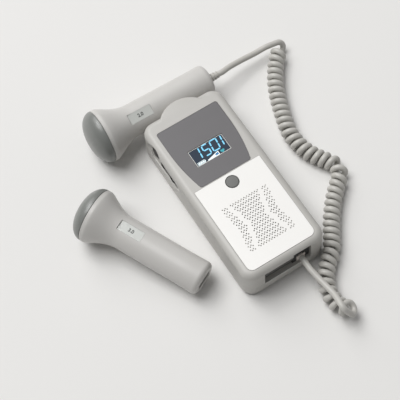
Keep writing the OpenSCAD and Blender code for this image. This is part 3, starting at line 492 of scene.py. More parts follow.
def curl_path():
    """Centre line of the curls and the direction from their axis, at even steps of turn.

    A point circles the axis at the curls' radius while it moves along. It moves less where the
    axis bends, in the share that keeps the curls' distance on the inner side of the bend.
    """
    axis = smooth_route(COIL_ROUTE, ROUTE_STEPS)
    lengths = run_lengths(axis)

    def way(s):
        s = np.clip(s, 0, lengths[-1])
        ahead, behind = (at_length(s + d, lengths, axis) for d in (WAY_REACH, -WAY_REACH))
        return unit_rows(ahead - behind)

    bend = np.linalg.norm(way(lengths + BEND_REACH) - way(lengths - BEND_REACH), axis=1) / (2 * BEND_REACH)
    share = 1 - COIL_R * bend
    sums = np.concatenate([[0], np.cumsum((share[1:] + share[:-1]) / 2 * np.diff(lengths))])
    k = np.linspace(0, 1, int(COIL_TURNS * RINGS_PER_TURN) + 1)
    s = np.interp(k * sums[-1], sums, lengths)
    heading = way(s)
    side = unit_rows(np.stack([heading[:, 1], -heading[:, 0], np.zeros(len(s))], -1))
    angle = (2 * math.pi * COIL_TURNS * k)[:, None]
    out = np.cos(angle) * np.cross(side, heading) - np.sin(angle) * side
    return at_length(s, lengths, axis) + COIL_R * out, out


def turn_into(start, start_way, end, end_way, reach):
    """Cubic that leaves start along its way and comes to end along its way, without its ends."""
    t = np.linspace(0, 1, TURN_STEPS)[1:-1, None]
    near, far = start + reach * start_way, end - reach * end_way
    return (1 - t) ** 3 * start + 3 * (1 - t) ** 2 * t * near + 3 * (1 - t) * t**2 * far + t**3 * end


def lead_path(start, start_way, route, end, end_way):
    """Straight out of one end by a diameter, a smooth curve, and a round turn into the other end."""
    run = smooth_route(np.vstack([start + CORD_D * start_way, route]), LEAD_STEPS)
    last_way = unit_rows(run[-1] - run[-2])
    reach = TURN_REACH * np.linalg.norm(end - run[-1])
    return np.vstack([start, run, turn_into(run[-1], last_way, end, end_way, reach), end])


def tube(name, path, out, radius, material):
    """Round tube along a path. out gives each ring's first direction, and radius its size."""
    path = np.asarray(path)
    way = unit_rows(np.gradient(path, axis=0))
    across = unit_rows(np.cross(way, out))
    first = np.cross(across, way)
    turn = around(CORD_SIDES)[None, :, None]
    radius = np.broadcast_to(radius, len(path))[:, None, None]
    rings = path[:, None] + radius * (np.cos(turn) * first[:, None] + np.sin(turn) * across[:, None])
    return make_piece(name, rings, capped_faces(len(path), CORD_SIDES), material)


def probe_place(head, yaw, tilt, roll):
    """Turns a probe's own axis, Z from its face's joint to its tail, to where the probe lies."""
    return Matrix.Translation(head) @ spin(yaw, "Z") @ spin(90 + tilt, "Y") @ spin(roll, "Z")


# Sizes of the probes, from the joint between face and housing to the tail
RIM_R = 22 * MM
RIM_L = 3 * MM
HANDLE_R = 13.3 * MM
TAIL_R = 13.6 * MM
TAIL_ROUND = 4 * MM
TAIL_TAPER = 14.5 * MM
PROBE_L = 98.5 * MM
FLARE_L = 25 * MM
FLARE_BIAS = 0.68
FACE_H = 12 * MM
BOOT_L = 9 * MM
UNIT_HALF_L = 77.5 * MM
LEFT_X = float(corners("front_shell")[0][0])
CRADLE_TILT = 2.6
CRADLE_ROLL = 24.9
SPARE_YAW = -63.5
SPARE_TILT = math.degrees(math.atan((RIM_R - TAIL_R) / (PROBE_L - TAIL_ROUND - RIM_L)))


def resting_height(tilt):
    """Height of the axis at the face's joint when the rim's end touches the surface."""
    return RIM_R * math.cos(math.radians(tilt)) + RIM_L * math.sin(math.radians(tilt))


CRADLE_HEAD = Vector((-61 * MM, UNIT_HALF_L + 16 * MM, resting_height(CRADLE_TILT) + 0.2 * MM))
SPARE_HEAD = Vector((LEFT_X - 64.9 * MM, 37.4 * MM, resting_height(SPARE_TILT)))
in_cradle = probe_place(CRADLE_HEAD, 0, CRADLE_TILT, CRADLE_ROLL)
on_surface = probe_place(SPARE_HEAD, SPARE_YAW, SPARE_TILT, 0)

# Where the cord leaves the plugs
PLUG_BACK = MM * np.array([13.2, -75.8, 17.9])
tail_way = np.array(in_cradle.to_3x3() @ Vector((0, 0, 1)))
boot_end = np.array(in_cradle @ Vector((0, 0, PROBE_L + BOOT_L)))


def add_cord():
    """The unit's lead with all the curls as one tube, and the probe's lead as another."""
    curls, out = curl_path()
    first_way, last_way = unit_rows(curls[1] - curls[0]), unit_rows(curls[-1] - curls[-2])
    coil_start = curls[0] - CORD_D * first_way
    coil_end = curls[-1] + CORD_D * last_way
    lead = lead_path(PLUG_BACK, np.array([0, -1, 0]), UNIT_LEAD, coil_end, -last_way)
    path = np.vstack([lead, curls[::-1], coil_start])
    outs = np.vstack([np.repeat(out[-1:], len(lead), 0), out[::-1], out[:1]])
    cord = tube("curly_cord", path, outs, CORD_D / 2, cord_pvc)
    place_piece(cord, "unit", "cord", "lead_unit", "cord_coil")
    lead = lead_path(boot_end, tail_way, PROBE_LEAD, coil_start, first_way)[::-1]
    up = np.repeat([[0, 0, 1.0]], len(lead), 0)
    cord = tube("probe_cord", lead, up, CORD_D / 2, cord_pvc)
    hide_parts("lead_probe")
    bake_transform(cord)


# ---- Plugs ----

PLUG_W = 7.65 * MM
PLUG_H = 6.6 * MM
PLUG_L = 12.6 * MM
LATCH_W = 3.2 * MM
BLADES = 6
BLADE_PITCH = 1.02 * MM
jack_place = Matrix.Translation(PLUG_BACK) @ spin(90, "X") @ spin(-90, "Z")
probe_plug_place = in_cradle @ Matrix.Translation((0, 0, 96.8 * MM))


def add_plug(which, body, place):
    """Clear modular plug along -Z from its back, with its latch and its contact blades."""
    edge = 0.25 * MM
    outline = rounded_outline(PLUG_H / 2, PLUG_W / 2, edge, 4)
    shell = loft(f"{which}_body", outline, edged(-PLUG_L, 0, edge), plug_clear, place)
    # Latch: an arm that leaves the plug near its nose and rises towards its back
    arm = [[-3.25, -11.9], [-3.3, -7.5], [-3.9, -2.6], [-4.6, -2.6], [-3.25, -10.6], [-3.25, -11.6]]
    arm = free_outline(MM * np.array(arm))
    across = edged(-LATCH_W / 2, LATCH_W / 2, 0.1 * MM)
    latch = loft(f"{which}_latch", arm, across, plug_clear, place @ spin(90, "X"))
    blades = []
    for i in range(BLADES):
        y = (i - (BLADES - 1) / 2) * BLADE_PITCH
        outline = rounded_outline(0.9 * MM, 0.18 * MM, 0.05 * MM, 3, (PLUG_H / 2 - 0.95 * MM, y))
        heights = [(0, -PLUG_L + 0.35 * MM), (0, -PLUG_L + 4 * MM)]
        blades.append(loft("blade", outline, heights, gold_flash, place))
    contacts = joined(f"{which}_contacts", blades)
    place_piece(shell, body, "clear_plug", which)
    place_piece(latch, body, "clear_plug")
    place_piece(contacts, body, "plated_steel")


def joined(name, pieces):
    """Several pieces as one mesh object."""
    work = bmesh.new()
    for piece in pieces:
        work.from_mesh(piece.data)
    mesh = bpy.data.meshes.new(name)
    work.to_mesh(mesh)
    work.free()
    mesh.materials.append(pieces[0].data.materials[0])
    for piece in pieces:
        bpy.data.objects.remove(piece)
    shade(mesh)
    return link(bpy.data.objects.new(name, mesh))


def add_boot():
    """Tapered strain relief past the probe's tail, with grooves between its ribs."""
    start, ribs = PROBE_L - 1.9 * MM, 4
    s = np.linspace(0, 1, 61)
    groove = 0.7 * MM * (np.cos(2 * math.pi * ribs * s) < -0.2) * (s > 0.2)
    radius = 3.6 * MM - 0.7 * MM * s**1.5 - groove
    height = start + (PROBE_L + BOOT_L - start) * s
    profile = np.vstack([[0, height[0]], np.c_[radius, height], [0, height[-1]]])
    boot = revolve("probe_boot", profile, cord_pvc, in_cradle, steps=64)
    place_piece(boot, "probe", "cord")


add_plug("plug_unit", "unit", jack_place)
add_plug("plug_probe", "probe", probe_plug_place)
add_boot()
add_cord()


# ---- Unit: shells ----

shell_low, shell_high = corners("front_shell")
plate_low, plate_high = corners("speaker_plate")
panel_low, panel_high = corners("display_panel")
glass_low, glass_high = corners("lcd_glass")
button_low, button_high = corners("power_button")
wheel_low, wheel_high = corners("volume_wheel")
door_low, door_high = corners("battery_door")
cells_low, cells_high = corners("battery_cells")
jack_low, jack_high = corners("probe_jack")
speaker_low, speaker_high = corners("speaker_driver")

UNIT_W = shell_high[0] - shell_low[0]
LOW_Y = shell_low[1]
SEAM_Z = shell_low[2]
TOP_Z = shell_high[2]
CORNER_R = 10 * MM
FRONT_FILLET = 5.5 * MM
BACK_FILLET = 4.5 * MM
SEAM_EDGE = 0.18 * MM
TAB_R = 24.1 * MM
TAB_FILLET = 1.5 * MM
TAB_Y = shell_high[1] - TAB_R
# How far cutters go past the faces that they open, and the gaps round what sits in a cut
PAST = 1 * MM
CRADLE_GAP = 0.5 * MM
EDGE_GAP = 0.22 * MM
DOOR_GAP = 0.3 * MM
SIDE_GAP = 0.3 * MM
WHEEL_GAP = 0.4 * MM
WHEEL_BORE_R = 2.05 * MM
JACK_GAP = 0.35 * MM
LIP = 0.3 * MM
SCREW_IN = 2.6 * MM
SCREW_WELL_R = 2.9 * MM
# Left side's pocket: depth, radius at its lower and at its upper end, and the run between them
POCKET_DEPTH = 1.2 * MM
POCKET_LOW_R = 4.6 * MM
POCKET_HIGH_R = 6.5 * MM
POCKET_RUN = 30.5 * MM
POCKET_Y = UNIT_HALF_L - 53 * MM
POCKET_Z = SEAM_Z + 9.6 * MM
SOCKET_Z = 24.0 * MM
# Radius of each side socket's nose
NOSE_R = {"headphone_jack": 2.5 * MM, "charger_jack": 3.4 * MM}
# Recess in the lower end, the jack's bay in it, and the dark strips of painted shade in recess and pocket
RECESS_HALF_W = 20 * MM
RECESS_H = 17 * MM
RECESS_DEPTH = 4 * MM
LIP_H = 0.45 * MM
LIP_IN = 0.25 * MM
BAY_H = 18.6 * MM
BAY_LEFT = jack_low[0] - JACK_GAP
SHADE_SHEET_T = 0.25 * MM
SHADE_SHEET_EDGE = 0.08 * MM

button_y = (button_low[1] + button_high[1]) / 2
speaker_y = (speaker_low[1] + speaker_high[1]) / 2
window_y = (glass_low[1] + glass_high[1]) / 2
window_at = np.array([0, window_y])
glass_half = (glass_high[:2] - glass_low[:2]) / 2
window_half = glass_half + 0.2 * MM
wheel_middle = (wheel_low + wheel_high) / 2
wheel_r = (wheel_high[1] - wheel_low[1]) / 2
screw_x, screw_y = corners("case_screws")[1][:2] - SCREW_IN
door_half_w = door_high[0] - 1.4 * MM
unit_outline = rounded_outline(UNIT_W / 2, UNIT_HALF_L, CORNER_R, 16)
tab_outline = circle_outline(TAB_R, 128, (0, TAB_Y))


def along_x(x, y, z):
    """Turns a solid's own axis to +X, its own X to +Y, and sets it at a point."""
    return Matrix.Translation((x, y, z)) @ Matrix(((0, 0, 1, 0), (1, 0, 0, 0), (0, 1, 0, 0), (0, 0, 0, 1)))


def tapered_outline(small_r, big_r, distance, steps=28):
    """Round two circles and the straight sides that touch both, along X from the small one."""
    a = math.pi - math.acos((big_r - small_r) / distance)
    small = np.linspace(a, 2 * math.pi - a, steps)
    big = np.linspace(-a, a, steps)
    normals = spokes(np.concatenate([small, big]))
    radius = np.repeat([small_r, big_r], steps)[:, None]
    shift = np.repeat([[0, 0], [distance, 0]], steps, axis=0)
    return radius * normals + shift, normals


pocket_place = along_x(LEFT_X, POCKET_Y, POCKET_Z)


def cradle_cutter():
    """Room for the probe's handle across the arched tab."""
    return cutter(circle_outline(HANDLE_R + CRADLE_GAP), [(0, 0), (0, PROBE_L)], in_cradle)


def front_half(name, outline, fillet, turns):
    """Solid from the seam to the top, with a fine edge at the seam and a round one at the top."""
    seam = [(-SEAM_EDGE, SEAM_Z), (0, SEAM_Z + SEAM_EDGE)]
    return loft(name, outline, seam + rounded_top(fillet, turns, TOP_Z), casing_abs)


def back_half(name, outline, fillet, turns):
    """Solid from the bottom to the seam, with a round edge below and a fine one at the seam."""
    seam = [(0, SEAM_Z - SEAM_EDGE), (-SEAM_EDGE, SEAM_Z)]
    return loft(name, outline, rounded_bottom(fillet, turns) + seam, casing_abs)


def socket_place(node):
    """Where a side socket's axis meets the left wall, and the depths where it starts and ends."""
    low, high = corners(node)
    return along_x(LEFT_X, (low[1] + high[1]) / 2, SOCKET_Z), low[0] - LEFT_X, high[0] - LEFT_X


def add_front_shell():
    """Front half: rounded housing and arched tab, with its pockets, slots and the cradle."""
    shell = front_half("front_housing", unit_outline, FRONT_FILLET, 14)
    carve(shell, [front_half("tab", tab_outline, TAB_FILLET, 9)], "UNION")
    # The plate's seat opens upwards in a fine lip, and the button's hole widens for its flange
    plate_seat = [(0, plate_low[2]), (0, TOP_Z - 0.12 * MM), (LIP, TOP_Z + 0.18 * MM), (LIP, TOP_Z + PAST)]
    button_hole = MM * np.array([[0, -7.5], [7.4, -7.5], [7.4, -2.8], [5.5, -2.8], [5.5, 1], [0, 1]])
    speaker_room = circle_outline(19 * MM, 96, (0, speaker_y))
    wheel_slot = [(0, wheel_low[2] - WHEEL_GAP), (0, wheel_high[2] + WHEEL_GAP)]
    pocket_edge = [(0.5 * MM, -PAST), (0.5 * MM, 0), (0.12 * MM, 0.25 * MM), (0, 0.5 * MM), (0, POCKET_DEPTH)]
    cutters = [
        cradle_cutter(),
        cutter(plate_outline(EDGE_GAP), plate_seat),
        cutter(panel_outline(EDGE_GAP), [(0, panel_low[2]), (0, TOP_Z + PAST)]),
        block([*(window_at - window_half), glass_low[2]], [*(window_at + window_half), TOP_Z + PAST]),
        revolve("cutter", button_hole, casing_abs, Matrix.Translation((0, button_y, TOP_Z)), 96),
        cutter(speaker_room, [(0, TOP_Z - 11 * MM), (0, plate_low[2] + 0.2 * MM)]),
        cutter(tapered_outline(POCKET_LOW_R, POCKET_HIGH_R, POCKET_RUN), pocket_edge, pocket_place),
        cutter(circle_outline(wheel_r + WHEEL_GAP, 96, wheel_middle[:2]), wheel_slot),
    ]
    for node, nose_r in NOSE_R.items():
        place, _, depth = socket_place(node)
        cutters.append(cutter(circle_outline(nose_r + SIDE_GAP, 64), [(0, -PAST), (0, depth)], place))
    cutters += [wheel_scoop(), *recess_cutters()]
    carve(shell, cutters)
    place_piece(shell, "unit", "casing", "front_shell")


def wheel_scoop():
    """Flattened ball that hollows the wall round and over the wheel, so that a thumb reaches it."""
    half_l, half_h, depth, rise = 9.5 * MM, 9 * MM, 2.5 * MM, 1.8 * MM
    ball_r = (half_l**2 + depth**2) / (2 * depth)
    turn = np.linspace(0, math.pi, 97)
    place = Matrix.Translation((LEFT_X + depth - ball_r, wheel_middle[1], wheel_middle[2] + rise))
    squeeze = Matrix.Diagonal((1, 1, half_h / half_l, 1))
    profile = ball_r * np.stack([np.sin(turn), -np.cos(turn)], -1)
    return revolve("cutter", profile, casing_abs, place @ squeeze, 192)


def add_side_sockets():
    """Black collars that stand out of the side pocket, and the dark strip of painted shade on the pocket's
    floor that they stand in.
    """
    for node, nose_r in NOSE_R.items():
        place, back, _ = socket_place(node)
        front, edge = 0.2 * MM, 0.15 * MM
        heights = [(-edge, front), (0, front + edge), (0, back)]
        rim = circle_outline(nose_r + 0.25 * MM, 64)
        collar = loft(node.replace("jack", "collar"), rim, heights, black_nylon, place)
        bore = circle_outline(nose_r - 0.75 * MM, 48)
        carve(collar, [cutter(bore, [(0, -PAST), (0, back + PAST)], place, black_nylon)])
        place_piece(collar, "unit", "black_parts")
    # Painted shade: a dark strip on the pocket's floor stands in for the shade under the pocket's upper lip
    margin, run = 1.7 * MM, 19.5 * MM
    high_r = POCKET_LOW_R + (POCKET_HIGH_R - POCKET_LOW_R) * run / POCKET_RUN
    top = POCKET_DEPTH - SHADE_SHEET_T
    outline = tapered_outline(POCKET_LOW_R - margin, high_r - margin, run)
    heights = [(-SHADE_SHEET_EDGE, top), (0, top + SHADE_SHEET_EDGE), (0, POCKET_DEPTH)]
    strip = loft("pocket_shade_sheet", outline, heights, painted_shade_film, pocket_place)
    place_piece(strip, "unit", "dark_parts")


def recess_cutters():
    """Recess in the lower end: a wall that slopes in downwards, and the open bay of the jack."""
    slope = free_outline([
        [LOW_Y - PAST, SEAM_Z - PAST],
        [LOW_Y + RECESS_DEPTH, SEAM_Z - PAST],
        [LOW_Y + RECESS_DEPTH, SEAM_Z],
        [LOW_Y + LIP_IN, SEAM_Z + RECESS_H - LIP_H],
        [LOW_Y - PAST, SEAM_Z + RECESS_H],
    ])
    bay = block(
        [BAY_LEFT, LOW_Y - PAST, SEAM_Z - PAST],
        [jack_high[0] + JACK_GAP, jack_high[1] + 0.5 * MM, SEAM_Z + BAY_H],
    )
    overlap = 0.02 * MM
    return [cutter(slope, [(0, -RECESS_HALF_W), (0, BAY_LEFT + overlap)], along_x(0, 0, 0)), bay]


def add_recess_shade_sheet():
    """Thin dark strip of painted shade that lines the recess's sloped wall beside the jack."""
    way = unit_rows(np.array([LIP_IN - RECESS_DEPTH, RECESS_H - LIP_H]))
    out = np.array([-way[1], way[0]])
    low = np.array([LOW_Y + RECESS_DEPTH, SEAM_Z]) + 0.3 * MM * way
    high = np.array([LOW_Y + LIP_IN, SEAM_Z + RECESS_H - LIP_H]) - 0.5 * MM * way
    strip = free_outline([low, high, high + SHADE_SHEET_T * out, low + SHADE_SHEET_T * out][::-1])
    run = edged(-RECESS_HALF_W + 0.25 * MM, BAY_LEFT - 0.25 * MM, SHADE_SHEET_EDGE)
    # Painted shade: the dark strip stands in for the shade on the recess's sloped wall
    inlay = loft("recess_shade_sheet", strip, run, painted_shade_film, along_x(0, 0, 0))
    place_piece(inlay, "unit", "dark_parts")


def panel_outline(grow):
    """Panel's outline: rounded corners, and sides that draw in on a large arc below the shoulder."""
    half_top, half_low, r = 27.4 * MM, 22.2 * MM, 1.8 * MM
    low, high = panel_low[1], panel_high[1]
    shoulder = high - 19 * MM
    drop, inset = shoulder - low, half_top - half_low
    arc_r = (drop**2 + inset**2) / (2 * inset)
    y = np.linspace(low + r, shoulder, 24)
    side = half_top - arc_r + np.sqrt(arc_r**2 - (y - shoulder) ** 2)
    quarter = np.linspace(0, math.pi / 2, 7)
    top = [half_top - r, high - r] + r * spokes(quarter)
    bottom = [side[0] - r, low + r] + r * spokes(-quarter[::-1])
    right = np.vstack([bottom[:-1], np.c_[side, y], top])
    points, normals = free_outline(np.vstack([right, right[::-1] * [-1, 1]]))
    return points + grow * normals, normals


def add_back_shell():
    """Back half: rounded housing and tab, with the battery well, the door's way and screw holes."""
    shell = back_half("back_housing", unit_outline, BACK_FILLET, 12)
    carve(shell, [back_half("tab", tab_outline, TAB_FILLET, 8)], "UNION")
    half_w, door_end = door_half_w + DOOR_GAP, door_high[1] + DOOR_GAP
    tongue_half_w = door_high[0] + DOOR_GAP
    cutters = [
        cradle_cutter(),
        block([-half_w, cells_low[1] - 3 * MM, -PAST], [half_w, cells_high[1] + 0.5 * MM, SEAM_Z + PAST]),
        block([-half_w, LOW_Y - PAST, -PAST], [half_w, door_end, door_high[2] + DOOR_GAP]),
        block([-tongue_half_w, LOW_Y - PAST, 0.8 * MM], [tongue_half_w, door_end, 2.1 * MM]),
    ]
    edge = 0.3 * MM
    for x in (-1, 1):
        for y in (-1, 1):
            well = circle_outline(SCREW_WELL_R, 48, (x * screw_x, y * screw_y))
            cutters.append(cutter(well, [(edge, -PAST), (edge, 0), (0, 0.4 * MM), (0, 6 * MM)]))
    carve(shell, cutters)
    place_piece(shell, "unit", "casing", "back_shell")


def add_door():
    """Battery door: it follows the back's rounding at the lower end, with a ribbed thumb grip."""
    door = loft("door_leaf", unit_outline, rounded_bottom(BACK_FILLET, 12) + [(0, SEAM_Z)], casing_abs)
    leaf = block([-door_half_w, LOW_Y - PAST, door_low[2]], [door_half_w, *door_high[1:]], "leaf")
    tongues = block([door_low[0], LOW_Y - PAST, 1.0 * MM], [*door_high[:2], 1.9 * MM], "tongues")
    carve(leaf, [tongues], "UNION")
    carve(door, [leaf], "INTERSECT")
    groove = [(0.2 * MM, -0.1 * MM), (0, 0.45 * MM), (-0.2 * MM, 0.8 * MM)]
    grip_y = LOW_Y + 14.6 * MM
    middles = [(0, grip_y + i * 2.6 * MM) for i in range(5)]
    carve(door, [cutter(rounded_outline(9 * MM, 0.6 * MM, 0.55 * MM, 6, at), groove) for at in middles])
    place_piece(door, "door", "casing", "battery_door")


# ---- Unit: plate, panel, display and controls ----

GRILLE_ROWS = 6
ROW_PITCH = 3.24 * MM
HOLE_PITCH = 1.2 * MM
HOLE_D = 1.0 * MM
STAGGER = 0.55 * MM
FRAME_LINE = 0.35 * MM


def grille_centres():
    """Middles of the grille's holes: staggered rows in three fields that widen outwards."""
    row, column = np.meshgrid(np.arange(-GRILLE_ROWS, GRILLE_ROWS + 1), np.arange(-17, 18), indexing="ij")
    x, out = column * HOLE_PITCH, np.abs(row)
    inner = np.abs(x) <= (6.6 + 0.98 * out) * MM
    outer = (np.abs(x) >= (10.2 + 0.9 * out) * MM) & (np.abs(x) <= (17.2 + 0.5 * out) * MM)
    y = speaker_y + row * ROW_PITCH + STAGGER * np.where(column % 2 == 0, 1, -1)
    keep = inner | outer
    return np.stack([x[keep], y[keep]], -1)


def plate_outline(grow):
    """The plate's outline moved out by grow: nearly square upper corners and round lower ones."""
    middle, half = (plate_low + plate_high) / 2, (plate_high - plate_low) / 2
    arc = spokes(np.linspace(0, math.pi / 2, 9))
    rounds = []
    for sx, sy, r in ((1, 1, 0.4), (-1, 1, 0.4), (-1, -1, 4.8), (1, -1, 4.8)):
        points = [sx, sy] * (half[:2] - r * MM + (r * MM + grow) * arc) + middle[:2]
        rounds.append(points if sx * sy > 0 else points[::-1])
    return free_outline(np.vstack(rounds))


def add_plate():
    """White plate: square upper corners, round lower ones, the button's hole and the grille."""
    outline = plate_outline(0)[0]
    hole = circle_outline(5.5 * MM, 64, (0, button_y))[0]
    grille = [circle_outline(HOLE_D / 2, 12, centre)[0] for centre in grille_centres()]
    shapes = [outline, hole, *grille]
    plate = flat_shapes("white_plate", shapes, plate_low[2], plate_high[2], 0.12 * MM, white_acrylic)
    place_piece(plate, "unit", "plate", "speaker_plate")


def add_panel():
    """Grey panel round the display window."""
    shapes = [panel_outline(0)[0], rounded_outline(*window_half, 0.4 * MM, 4, window_at)[0]]
    panel = flat_shapes("grey_panel", shapes, panel_low[2], panel_high[2], 0.1 * MM, panel_film)
    place_piece(panel, "unit", "panel", "display_panel")


def add_button():
    """Rubber key: a flange under the plate, a neck, and a face that is slightly domed."""
    r, top = 5 * MM, button_high[2]
    turn = np.linspace(0, math.pi / 2, 8)
    edge = 0.7 * MM
    across = np.linspace(1, 0, 16)
    dome = 0.25 * MM
    rim = top - dome
    stem, flange, under, over = 2 * MM, 7 * MM, 30.2 * MM, 31.4 * MM
    profile = np.vstack([
        [[0, button_low[2]], [stem, button_low[2]], [stem, under]],
        [[flange, under], [flange, over], [r, over]],
        [r - edge, rim - edge] + edge * spokes(turn),
        np.c_[(r - edge) * across, rim + dome * (1 - across**2)],
    ])
    button = revolve("power_key", profile, button_rubber, Matrix.Translation((0, button_y, 0)), 96)
    place_piece(button, "button", "button", "power_button")


def add_wheel():
    """Volume wheel: grip ribs round a rim with chamfered edges, bored for its shaft."""
    notches = 36
    turn = around(8 * notches)
    ribs = wheel_r - 0.4 * MM * (0.5 - 0.5 * np.cos(notches * turn)) ** 0.7
    outline = ribs[:, None] * spokes(turn) + wheel_middle[:2], spokes(turn)
    low, high = wheel_low[2], wheel_high[2]
    wheel = loft("volume_dial", outline, edged(low, high, 0.5 * MM), dark_abs)
    bore = circle_outline(WHEEL_BORE_R, 48, wheel_middle[:2])
    carve(wheel, [cutter(bore, [(0, low - PAST), (0, high + PAST)], material=dark_abs)])
    place_piece(wheel, "wheel", "dark_parts", "volume_wheel")


def add_display():
    """Display glass with a thin light frame line, and the segments that are lit on it."""
    rim = rounded_outline(*glass_half, 0.3 * MM, 4, window_at)
    inner_rim = rounded_outline(*(glass_half - FRAME_LINE), 0.2 * MM, 4, window_at)
    heights = [(0, glass_low[2]), (0, glass_high[2] - 0.1 * MM), (-0.1 * MM, glass_high[2])]
    glass = loft("display_glass", rim, heights, lcd_surface)
    place_piece(glass, "unit", "display", "lcd_glass")
    low, high = glass_high[2] - 0.02 * MM, glass_high[2] + 0.05 * MM
    parts = {
        "frame_line": ([rim[0], inner_rim[0]], white_nylon),
        "digits": (digit_strokes(), segment_cyan),
        "battery_mark": (battery_mark(), segment_white),
        "volume_mark": (volume_mark(), segment_white),
        "level_mark": (level_mark(), segment_blue),
        "heart_mark": (heart_mark(), segment_teal),
    }
    for name, (outlines, material) in parts.items():
        piece = flat_shapes(f"display_{name}", outlines, low, high, 0.01 * MM, material)
        place_piece(piece, "unit", "display")


# Seven-segment strokes in a cell that is 1 wide and 2 high, from the lower left corner
SEGMENTS = {
    "a": ((0, 2), (1, 2)), "b": ((1, 2), (1, 1)), "c": ((1, 1), (1, 0)), "d": ((1, 0), (0, 0)),
    "e": ((0, 0), (0, 1)), "f": ((0, 1), (0, 2)), "g": ((0, 1), (1, 1)),
}
DIGITS = {"0": "abcdef", "1": "bc", "5": "afgcd"}
# Each digit of the reading: its shape, its lower left corner, width and half height in mm
READING = [
    ("1", (-11.9, 27.8), 4.2, 4.85),
    ("5", (-4.6, 27.8), 4.8, 4.7),
    ("0", (2.6, 28.0), 5.7, 4.7),
    ("1", (6.9, 28.4), 5.4, 4.6),
]
SLANT = 0.1
STROKE = 1.05 * MM
STROKE_GAP = 0.2 * MM


def digit_strokes():
    """Each lit stroke as a bar with pointed ends, slanted like the display's digits."""
    bars = []
    for shape, corner, width, half_height in READING:
        for letter in DIGITS[shape]:
            ends = np.array(SEGMENTS[letter], float) * [width, half_height]
            ends[:, 0] += SLANT * ends[:, 1]
            start, end = MM * (ends + corner)
            way = unit_rows(end - start)
            side = np.array([-way[1], way[0]]) * STROKE / 2
            start, end = start + way * STROKE_GAP, end - way * STROKE_GAP
            tip = way * STROKE / 2
            near, far = start + tip, end - tip
            bars.append(np.array([start, near - side, far - side, end, far + side, near + side]))
    return bars


def upright(x0, y0, x1, y1):
    """Corners of an upright rectangle."""
    return [[x0, y0], [x1, y0], [x1, y1], [x0, y1]]


def battery_mark():
    """Battery sign: an outline with its nub, and three cells in it."""
    x, y, w, h = -13.9, 23.6, 6.4, 2.7
    nub = [[x + w, y + 0.8], [x + w + 0.5, y + 0.8], [x + w + 0.5, y + h - 0.8], [x + w, y + h - 0.8]]
    body = [[x, y], [x + w, y], *nub, [x + w, y + h], [x, y + h]]
    inside = upright(x + 0.35, y + 0.35, x + w - 0.35, y + h - 0.35)
    cells = [upright(a, y + 0.6, a + 1.5, y + h - 0.6) for a in (x + 0.65, x + 2.45, x + 4.25)]
    return [MM * np.array(shape) for shape in (body, inside, *cells)]


def volume_mark():
    """Volume sign: a wedge that rises to the right, with the level's window in it."""
    wedge = np.array([[-5.4, 23.5], [5.2, 23.5], [5.2, 27.0], [-5.4, 24.2]])
    window = np.array([[1.9, 24.1], [4.6, 24.1], [4.6, 26.2], [1.9, 25.5]])
    return [MM * wedge, MM * window]


def level_mark():
    """Level in the volume sign: two short bars."""
    return [
        MM * np.array([[a, 24.3], [a + 0.8, 24.3], [a + 0.8, b], [a, b - 0.2]])
        for a, b in ((2.2, 25.3), (3.4, 25.7))
    ]


def heart_mark():
    """Heart by its usual curve: x is sin cubed, y a sum of four cosines."""
    turn = around(40)
    x = 16 * np.sin(turn) ** 3
    y = 13 * np.cos(turn) - 5 * np.cos(2 * turn) - 2 * np.cos(3 * turn) - np.cos(4 * turn)
    return [MM * (np.array([8.4, 25.1]) + np.stack([x, y], -1)[::-1] * 1.75 / 16)]


# ---- Probes ----

LABEL_L = 20.5 * MM
LABEL_W = 8.5 * MM
LABEL_T = 0.4 * MM


def housing_profile():
    """Profile of a probe's housing: rim, S-shaped flare, handle, and a tail with a round end."""
    s = np.linspace(0, 1, 48)
    flare = HANDLE_R + (RIM_R - HANDLE_R) * np.cos(math.pi / 2 * s**FLARE_BIAS) ** 2
    tail_s = PROBE_L - TAIL_ROUND
    turn = np.linspace(0, math.pi / 2, 10)
    end = [TAIL_R - TAIL_ROUND, tail_s] + TAIL_ROUND * spokes(turn)
    base, edge = 0.05 * MM, 0.35 * MM
    return np.vstack([
        [[0, base], [RIM_R - edge, base], [RIM_R - 0.1 * MM, base + edge - 0.1 * MM]],
        [[RIM_R, base + edge], [RIM_R, RIM_L - 0.5 * MM]],
        np.c_[flare, RIM_L + FLARE_L * s],
        [HANDLE_R, tail_s - TAIL_TAPER],
        end,
        [0, PROBE_L],
    ])


def face_profile():
    """Profile of the domed face: the radius grows as a power of the sine."""
    turn = np.linspace(0, math.pi / 2, 40)
    dome = np.c_[RIM_R * np.sin(turn) ** 0.8, -FACE_H * np.cos(turn)]
    dome[:, 0] = np.minimum(dome[:, 0], RIM_R - 0.02 * MM)
    neck = RIM_R - 0.35 * MM
    return np.vstack([dome[:-1], [RIM_R - 0.02 * MM, -0.35 * MM], [neck, -0.1 * MM], [0, -0.1 * MM]])


